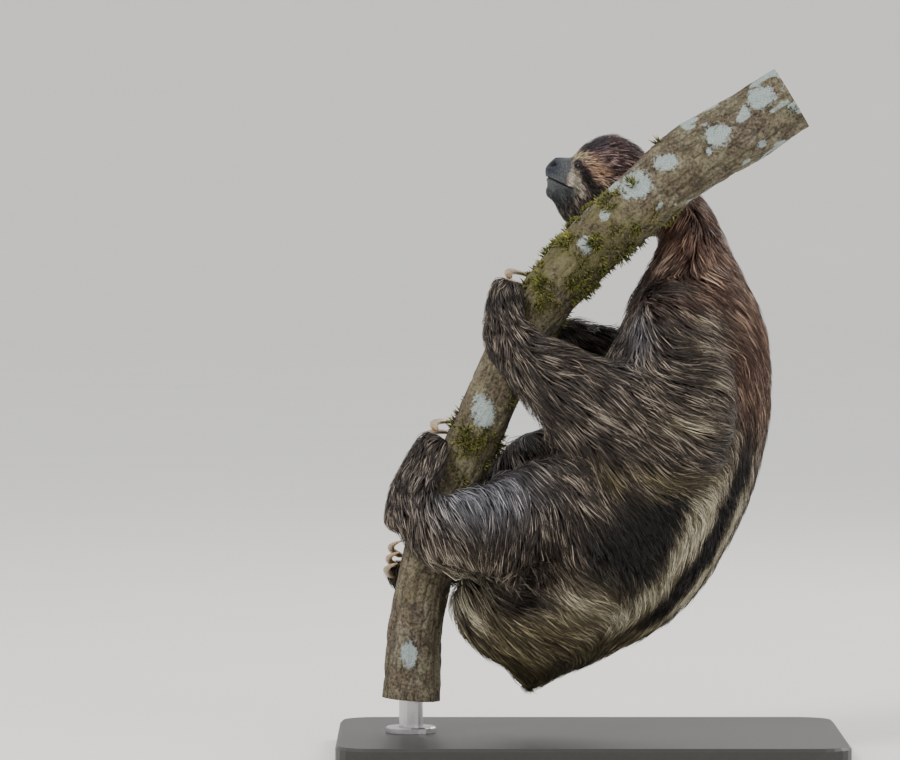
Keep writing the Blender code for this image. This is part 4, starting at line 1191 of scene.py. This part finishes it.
# ---------------------------------------------------------------- perch
# Middle line of the perch, with its half width and half depth: x, y, z, across, deep.
PERCH = np.array([
    (-0.149, 0.000, 0.046, 0.0245, 0.0240), (-0.144, 0.000, 0.112, 0.0235, 0.0230),
    (-0.128, 0.000, 0.187, 0.0240, 0.0235), (-0.092, 0.000, 0.270, 0.0225, 0.0225),
    (-0.050, 0.000, 0.361, 0.0230, 0.0235), (0.008, -0.003, 0.429, 0.0250, 0.0255),
    (0.050, -0.007, 0.467, 0.0265, 0.0270), (0.091, -0.010, 0.498, 0.0275, 0.0285),
    (0.133, -0.012, 0.525, 0.0270, 0.0280), (0.166, -0.013, 0.545, 0.0265, 0.0270),
])
PERCH_ROWS, AROUND = 330, 116
PERCH_GIRTH = 0.025  # a middling radius, for patterns that run round the perch
BORE_RADIUS = 0.0104
ROD_TOP = 0.070
LOWER_RINGS, UPPER_RINGS = (0.86, 0.60), (0.88, 0.66, 0.40, 0.16)  # on the cut ends, as shares of the edge
MOSS_CLUMPS, MOSS_SHOOTS = 330, 14
MOSS_ROOT_DEPTH = 0.0004

# Moss: share, middle and spread of each patch. Lichen: middle and spread.
MOSS = (
    (1.00, (-0.030, 0.0, 0.405), (0.050, 0.08, 0.045)), (0.90, (0.020, 0.0, 0.430), (0.045, 0.08, 0.035)),
    (0.45, (-0.095, 0.0, 0.262), (0.030, 0.08, 0.035)),
)
LICHEN = (
    ((-0.090, -0.022, 0.286), (0.011, 0.02, 0.016)), ((0.034, -0.030, 0.474), (0.018, 0.02, 0.014)),
    ((0.104, -0.036, 0.514), (0.0125, 0.02, 0.0105)), ((0.060, -0.034, 0.492), (0.012, 0.02, 0.008)),
    ((-0.005, -0.026, 0.424), (0.007, 0.02, 0.009)), ((0.140, -0.034, 0.545), (0.014, 0.02, 0.011)),
    ((-0.140, 0.022, 0.140), (0.010, 0.02, 0.016)), ((0.070, 0.018, 0.470), (0.018, 0.02, 0.011)),
    ((-0.085, 0.024, 0.300), (0.009, 0.02, 0.014)), ((0.008, 0.010, 0.452), (0.014, 0.02, 0.009)),
    ((-0.150, -0.022, 0.085), (0.008, 0.02, 0.013)), ((-0.128, -0.022, 0.190), (0.008, 0.02, 0.011)),
)


def through(rows, count):
    """Catmull-Rom through the rows."""
    padded = np.vstack([2 * rows[0] - rows[1], rows, 2 * rows[-1] - rows[-2]])
    found = []
    for place in np.linspace(0.0, len(rows) - 1.0, count):
        step = min(int(place), len(rows) - 2)
        t = place - step
        a, b, c, d = padded[step : step + 4]
        curve = 2 * b + (c - a) * t + (2 * a - 5 * b + 4 * c - d) * t**2
        found.append((curve + (3 * b - a - 3 * c + d) * t**3) / 2)
    return np.array(found)


def make_perch(coat):
    """The cut of trunk: the frame's own solid made finer, with bark ridges, clefts, moss and lichen."""
    values = through(PERCH, PERCH_ROWS)
    middle = values[:, :3]
    along = unit(np.gradient(middle, axis=0))
    side = unit(np.array([0.0, 1.0, 0.0]) - along * along[:, 1:2])
    deep = np.cross(side, along)
    turns = np.arange(AROUND) * 2 * math.pi / AROUND
    up, turn = np.meshgrid(np.arange(PERCH_ROWS) / (PERCH_ROWS - 1), turns, indexing="ij")
    # the same gentle swellings as the solid
    reach = 0.0010 * np.sin(2 * turn + 5 * up) + 0.0009 * np.sin(3 * turn - 17 * up)
    reach += 0.0008 * np.sin(29 * up + turn)
    length = np.concatenate([[0], np.cumsum(np.linalg.norm(np.diff(middle, axis=0), axis=1))])
    tall = np.repeat(length[:, None], AROUND, 1)
    tube = np.stack([np.cos(turn) * PERCH_GIRTH, np.sin(turn) * PERCH_GIRTH, tall], axis=2).reshape(-1, 3)
    ridges = np.abs(layered_noise(tube, (130, 130, 34), 3, 21) - 0.5) * 2
    pits = layered_noise(tube, (300, 300, 160), 3, 31)
    cleft = ease(0.14, 0.02, ridges)
    relief = 0.0006 * ease(0.0, 0.5, ridges) - 0.0009 * cleft + 0.0012 * (pits - 0.5) - 0.0004
    reach += relief.reshape(reach.shape)
    corners = middle[:, None] + side[:, None] * ((values[:, 3:4] + reach) * np.cos(turn))[:, :, None]
    corners += deep[:, None] * ((values[:, 4:5] + reach) * np.sin(turn))[:, :, None]
    corners = corners.reshape(-1, 3)
    verts, faces, sides = cap_perch(corners)
    made = object_from("perch_bark", verts, faces)
    spare = len(verts) - len(corners)
    growth = np.vstack([growth_masks(corners, tube), np.zeros((spare, 3))])
    store_colour(made.data, "growth", growth)
    # the clefts are painted darker in the bark's material, as painted shade
    store_number(made.data, "cleft", np.append(cleft, np.zeros(spare)))
    shade_smooth(made)
    made.data.materials.append(bark_material())
    made.data.materials.append(wood_material())
    for face in made.data.polygons[sides:]:
        face.material_index = 1
    made.data.set_sharp_from_angle(angle=math.radians(50))
    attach(made, "root")
    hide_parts("perch")
    make_moss(Surface(*arrays_of(made.data)[:2]), growth[:, 0], coat)


def bridge(low, high, around, other_way=False):
    """The four-sided faces between two rings of vertices; other_way splits them along the other diagonal."""
    faces = []
    for k in range(around):
        n = (k + 1) % around
        face = [high + k, high + n, low + n, low + k]
        faces.append(face[1:] + face[:1] if other_way else face)
    return faces


def cap_perch(corners):
    """The perch's vertices and faces, closed at both cut ends, and how many faces are on its sides."""
    faces = []
    for row in range(PERCH_ROWS - 1):
        faces += bridge(row * AROUND, (row + 1) * AROUND, AROUND)
    verts, sides = list(corners), len(faces)
    for start, shares in ((0, LOWER_RINGS), (len(corners) - AROUND, UPPER_RINGS)):
        lower = start == 0
        edge = corners[start : start + AROUND]
        centre = edge.mean(0)
        rings = [centre + (edge - centre) * share for share in shares]
        if lower:
            # the lower end is closed round the bore that the rod goes up
            turn = np.arctan2(edge[:, 1] - centre[1], edge[:, 0] - centre[0])
            bore = PERCH[0, :2] + BORE_RADIUS * np.stack([np.cos(turn), np.sin(turn)], axis=1)
            rings += [np.column_stack([bore, np.full(AROUND, height)]) for height in (centre[2], ROD_TOP)]
            centre = np.append(PERCH[0, :2], ROD_TOP)
        for ring in rings:
            new = len(verts)
            faces += bridge(*((new, start) if lower else (start, new)), AROUND, other_way=True)
            verts += list(ring)
            start = new
        for k in range(AROUND):
            pair = [start + (k + 1) % AROUND, start + k]
            faces.append([pair[0], len(verts), pair[1]] if lower else [len(verts), *pair])
        verts.append(centre)
    return np.array(verts), faces, sides


def growth_masks(corners, tube):
    """Where moss and lichen grow: moss in the bend and below the hand, lichen in round patches."""
    moss = patches(corners, MOSS) + 0.35 * ease(0.30, 0.60, layered_noise(tube, 40.0, 2, 41))
    moss *= 0.4 + 0.9 * layered_noise(tube, 90.0, 3, 43)
    lichen = np.max([bump_at(corners, middle, spread) for middle, spread in LICHEN], axis=0)
    lichen = np.clip(lichen * (0.35 + 1.25 * layered_noise(tube, (210, 210, 150), 3, 47)), 0, 1)
    crust = ease(0.56, 0.72, layered_noise(tube, (85, 85, 50), 3, 49)) * ease(0.40, 0.47, corners[:, 2])
    return np.stack([np.clip(moss, 0, 1), np.maximum(lichen, 0.75 * crust), np.zeros(len(corners))], axis=1)


def make_moss(bark, moss, coat):
    """Short upright tufts of moss where it grows thickest on the bark."""
    rng = np.random.default_rng(SEED + 50)
    verts, tris = bark.verts, bark.tris
    thick = ease(0.25, 0.80, moss) ** 2 * ease(0.42, 0.66, layered_noise(verts, 110.0, 2, 61))
    # none grows into the coat
    free = ease(0.000, 0.006, distance_to(coat, verts[tris[:, 0]]))
    chance = face_areas(verts, tris) * thick[tris].mean(1) * free
    hearts, _ = random_spots(verts, tris, chance, MOSS_CLUMPS, rng)
    hearts = np.repeat(hearts, MOSS_SHOOTS, axis=0)
    spread = rng.normal(0, 1, hearts.shape)
    reach = np.repeat(rng.uniform(0.0012, 0.0026, MOSS_CLUMPS), MOSS_SHOOTS)[:, None]
    places, spots = bark.nearest(hearts + spread * reach)
    outward = vertex_normals(verts, tris)[tris[spots, 0]]
    lean = unit(outward + spread * 0.42 + np.array([0.0, 0.0, 0.15]))
    lengths = np.repeat(rng.uniform(0.0035, 0.0085, MOSS_CLUMPS), MOSS_SHOOTS)
    lengths *= rng.uniform(0.6, 1.1, len(places))
    steps = np.linspace(0, 1, ROWS + 1)
    roots = places - outward * MOSS_ROOT_DEPTH
    path = roots[:, None] + lean[:, None] * (lengths[:, None] * steps)[:, :, None]
    path += rng.normal(0, 0.0006, (len(places), 1, 3)) * steps[None, :, None] ** 2
    across = unit(np.cross(lean, rng.normal(0, 1, places.shape)))
    widths = rng.uniform(0.0008, 0.0015, len(places))
    around = np.arctan2(outward[:, 1], outward[:, 0]) / (2 * math.pi) + 0.5
    uv = np.stack([around, places[:, 2] / 0.6], axis=1)
    made = lock_mesh(
        "perch_moss", path, np.repeat(across[:, None], ROWS + 1, 1), widths, np.zeros(len(places)),
        np.clip(uv, 0, 1), places, rng.random(len(places)),
    )
    made.data.materials.append(moss_material())
    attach(made, "root")


# ---------------------------------------------------------------- claws and eyes
def make_claws():
    material = claw_material()
    for node_name in sorted(name for name in NODES if name.startswith("claw_")):
        verts, faces = clean_arrays(NODES[node_name])
        made = object_from(node_name.replace("claw_", "claw_fine_"), verts, faces.tolist())
        rounder = made.modifiers.new("round", "SUBSURF")
        rounder.levels = 2
        rounder.render_levels = 2
        bpy.context.view_layer.update()
        settle(made)
        shade_smooth(made)
        made.data.materials.append(material)
        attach(made, "root")
        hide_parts(node_name)


def make_eyes():
    material = eye_material()
    for side, sign in EYE_SIDES:
        shape = bmesh.new()
        bmesh.ops.create_uvsphere(shape, u_segments=48, v_segments=32, radius=EYE_R)
        gaze, middle = Vector(eye_gaze(sign)), Vector(eye_middle(sign))
        for vert in shape.verts:
            # the clear front of the eye stands out a little
            facing = vert.co.normalized().dot(gaze)
            vert.co += gaze * EYE_R * 0.06 * max(0.0, (facing - 0.75) / 0.25) ** 1.5
            vert.co += middle
        mesh = bpy.data.meshes.new(f"eyeball_{side}")
        shape.to_mesh(mesh)
        shape.free()
        made = object_of(f"eyeball_{side}", mesh)
        shade_smooth(made)
        made.data.materials.append(material)
        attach(made, "root")
        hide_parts(f"eye_{side}")


# ---------------------------------------------------------------- everything
MARKINGS = markings_group()
COAT_MATERIAL = coat_material()

sloth = Body()
sloth.object.data.materials.clear()
sloth.object.data.materials.append(skin_material())
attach(sloth.object, "root")
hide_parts(*FLESH)

for piece_number, piece_name in enumerate(COAT_PIECES):
    make_coat(sloth, piece_name, piece_number)

make_eyes()
make_claws()
make_perch(sloth.outer)

board = stand_material("stand_board_fine", srgb(34, 32, 31), srgb(46, 44, 42), 0.42, 0.0, 240.0)
steel = stand_material("stand_steel_fine", srgb(176, 176, 178), srgb(198, 198, 200), 0.30, 1.0, 900.0)
for node_name, stand_look in (("stand_base", board), ("stand_rod", steel)):
    NODES[node_name].data.materials.clear()
    NODES[node_name].data.materials.append(stand_look)

# ---------------------------------------------------------------- floor, lights and camera
FLOOR_RADIUS = 11.0
WALL_RADIUS = 16.0
WALL_HEIGHT = 7.0
BEND_STEPS = 12
FLOOR_AROUND = 96
HEART = (0.0, 0.0, 0.30)  # what the lights point at

# The camera has a long lens, on the animal's left side and a little above it.
CAMERA_TARGET = Vector((-0.1166, 0.0, 0.3113))
CAMERA_RISE = math.radians(2.0)
CAMERA_DISTANCE = 5.0
CAMERA_VIEW = 0.747  # what it sees from side to side at that distance
SENSOR = 36.0


def make_floor():
    """A plain pale floor that turns up into a wall far away, all round."""
    profile = [(0.5, 0.0), (3.0, 0.0), (FLOOR_RADIUS, 0.0)]
    bend = WALL_RADIUS - FLOOR_RADIUS
    for k in range(1, BEND_STEPS + 1):
        turn = k / BEND_STEPS * math.pi / 2
        profile.append((FLOOR_RADIUS + bend * math.sin(turn), bend * (1 - math.cos(turn))))
    profile.append((WALL_RADIUS, WALL_HEIGHT))
    verts = [(0.0, 0.0, 0.0)]
    for radius, height in profile:
        for k in range(FLOOR_AROUND):
            turn = 2 * math.pi * k / FLOOR_AROUND
            verts.append((radius * math.cos(turn), radius * math.sin(turn), height))
    faces = [[0, 1 + k, 1 + (k + 1) % FLOOR_AROUND] for k in range(FLOOR_AROUND)]
    for row in range(len(profile) - 1):
        faces += bridge(1 + row * FLOOR_AROUND, 1 + (row + 1) * FLOOR_AROUND, FLOOR_AROUND)
    made = object_from("floor", verts, faces)
    shade_smooth(made)
    made.data.materials.append(floor_material())


def aim(name, data, place, target):
    made = object_of(name, data)
    made.location = place
    made.rotation_euler = (Vector(target) - Vector(place)).to_track_quat("-Z", "Y").to_euler()
    return made


def area_light(name, place, size, power, colour):
    data = bpy.data.lights.new(name, "AREA")
    data.shape = "DISK"
    data.size = size
    data.energy = power
    data.color = colour
    aim(name, data, place, HEART)


def make_camera():
    data = bpy.data.cameras.new("camera")
    data.sensor_width = SENSOR
    data.lens = SENSOR * CAMERA_DISTANCE / CAMERA_VIEW
    towards = Vector((0.0, -math.cos(CAMERA_RISE), math.sin(CAMERA_RISE)))
    place = CAMERA_TARGET + towards * CAMERA_DISTANCE
    bpy.context.scene.camera = aim("camera", data, place, CAMERA_TARGET)


make_floor()
area_light("key", (-1.6, -1.9, 2.6), 1.1, 84.0, (1.0, 0.97, 0.92))
area_light("fill", (1.9, -2.2, 1.1), 1.8, 16.0, (0.95, 0.97, 1.0))
area_light("back", (1.5, 1.9, 2.0), 1.2, 36.0, (1.0, 0.96, 0.90))
make_camera()

world = bpy.data.worlds.new("studio")
world.use_nodes = True
world.node_tree.nodes["Background"].inputs["Color"].default_value = (0.97, 0.98, 1.0, 1.0)
world.node_tree.nodes["Background"].inputs["Strength"].default_value = 1.15
bpy.context.scene.world = world
